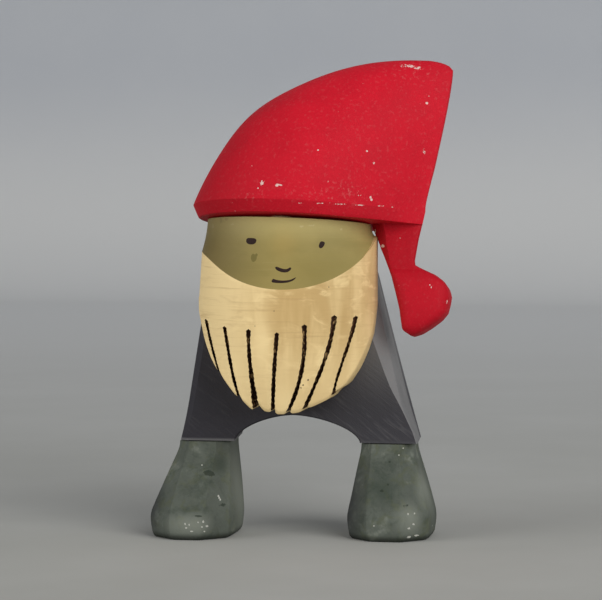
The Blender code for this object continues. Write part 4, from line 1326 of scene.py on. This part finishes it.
class NISSE_OT_stage(bpy.types.Operator):
    """Sets up the camera, the floor with its backdrop, and the lights"""

    bl_idname = "nisse.stage"
    bl_label = "Studio"

    def execute(self, context):
        scene = context.scene
        stage = scene.nisse_stage
        camera = bpy.data.objects.new("camera", bpy.data.cameras.new("camera"))
        camera.data.sensor_width = 36
        camera.data.sensor_fit = "HORIZONTAL"
        camera.data.lens = stage.lens
        away = np.array([math.sin(stage.azimuth), -math.cos(stage.azimuth), 0]) * stage.distance
        camera.location = PLANK + away + np.array([0, 0, stage.eye_height])
        camera.rotation_euler = (math.pi / 2 - stage.tilt, 0, stage.pan)
        scene.collection.objects.link(camera)
        scene.camera = camera

        reach, floor_end, radius, wall_top = 3.0, 1.7, 0.3, 2.6
        floor_y = np.linspace(-reach, floor_end, 30)
        bend = np.linspace(0, math.pi / 2, 24)[1:]
        bend_y, bend_z = floor_end + radius * np.sin(bend), radius * (1 - np.cos(bend))
        wall_z = np.linspace(radius, wall_top, 12)[1:]
        y = np.concatenate([floor_y, bend_y, np.full(wall_z.shape, floor_end + radius)])
        z = np.concatenate([np.zeros(floor_y.shape), bend_z, wall_z])
        points = stack(np.linspace(-reach, reach, 24)[None, :], y[:, None], z[:, None])
        mesh = bpy.data.meshes.new("backdrop")
        mesh.from_pydata(points.reshape(-1, 3), [], grid_faces(*points.shape[:2], False))
        mesh.shade_smooth()
        mesh.materials.append(backdrop_material(stage))
        backdrop = bpy.data.objects.new("backdrop", mesh)
        scene.collection.objects.link(backdrop)

        for name, place, size, power in (
            ("key", (1.15, -1.15, 0.80), 1.4, 23.4),
            ("fill", (-1.25, -0.95, 0.28), 1.0, 12.8),
        ):
            light = bpy.data.lights.new(name, "AREA")
            light.size = size
            light.energy = power
            lamp = bpy.data.objects.new(name, light)
            lamp.location = place
            aim = np.array(LAMP_AIM) - np.array(place)
            flat = math.hypot(aim[0], aim[1])
            lamp.rotation_euler = (math.atan2(flat, -aim[2]), 0, math.atan2(-aim[0], aim[1]))
            scene.collection.objects.link(lamp)
        world = bpy.data.worlds.new("studio")
        world.use_nodes = True
        sky = world.node_tree.nodes["Background"]
        fill(world.node_tree, sky, {"Color": (0.95, 0.97, 1.0, 1), "Strength": 0.27})
        scene.world = world
        scene.view_settings.view_transform = "Standard"
        return {"FINISHED"}


PIECES = (NISSE_OT_body, NISSE_OT_boots, NISSE_OT_head, NISSE_OT_face, NISSE_OT_cap, NISSE_OT_stage)


class NISSE_PT_figure(bpy.types.Panel):
    """Lists the pieces of the figure with their sizes and colours"""

    bl_idname = "NISSE_PT_figure"
    bl_label = "Carved Nisse Figure"
    bl_space_type = "VIEW_3D"
    bl_region_type = "UI"
    bl_category = "Nisse"

    def draw(self, context):
        for operator in PIECES:
            self.layout.operator(operator.bl_idname)
        for name, group in SETTINGS.items():
            box = self.layout.box()
            box.label(text=group.__doc__)
            for key in group.__annotations__:
                box.prop(getattr(context.scene, name), key)


def register():
    """Registers the settings, the operators and the panel."""
    for name, group in SETTINGS.items():
        bpy.utils.register_class(group)
        setattr(bpy.types.Scene, name, PointerProperty(type=group))
    for operator in PIECES:
        bpy.utils.register_class(operator)
    bpy.utils.register_class(NISSE_PT_figure)


def unregister():
    """Takes everything back out, last first."""
    bpy.utils.unregister_class(NISSE_PT_figure)
    for operator in reversed(PIECES):
        bpy.utils.unregister_class(operator)
    for name, group in reversed(SETTINGS.items()):
        delattr(bpy.types.Scene, name)
        bpy.utils.unregister_class(group)


def main():
    """Builds the figure and the studio."""
    register()
    bpy.ops.nisse.stage()
    bpy.ops.nisse.body()
    bpy.ops.nisse.boots()
    bpy.ops.nisse.head()
    bpy.ops.nisse.face()
    bpy.ops.nisse.cap()


if __name__ == "__main__":
    main()
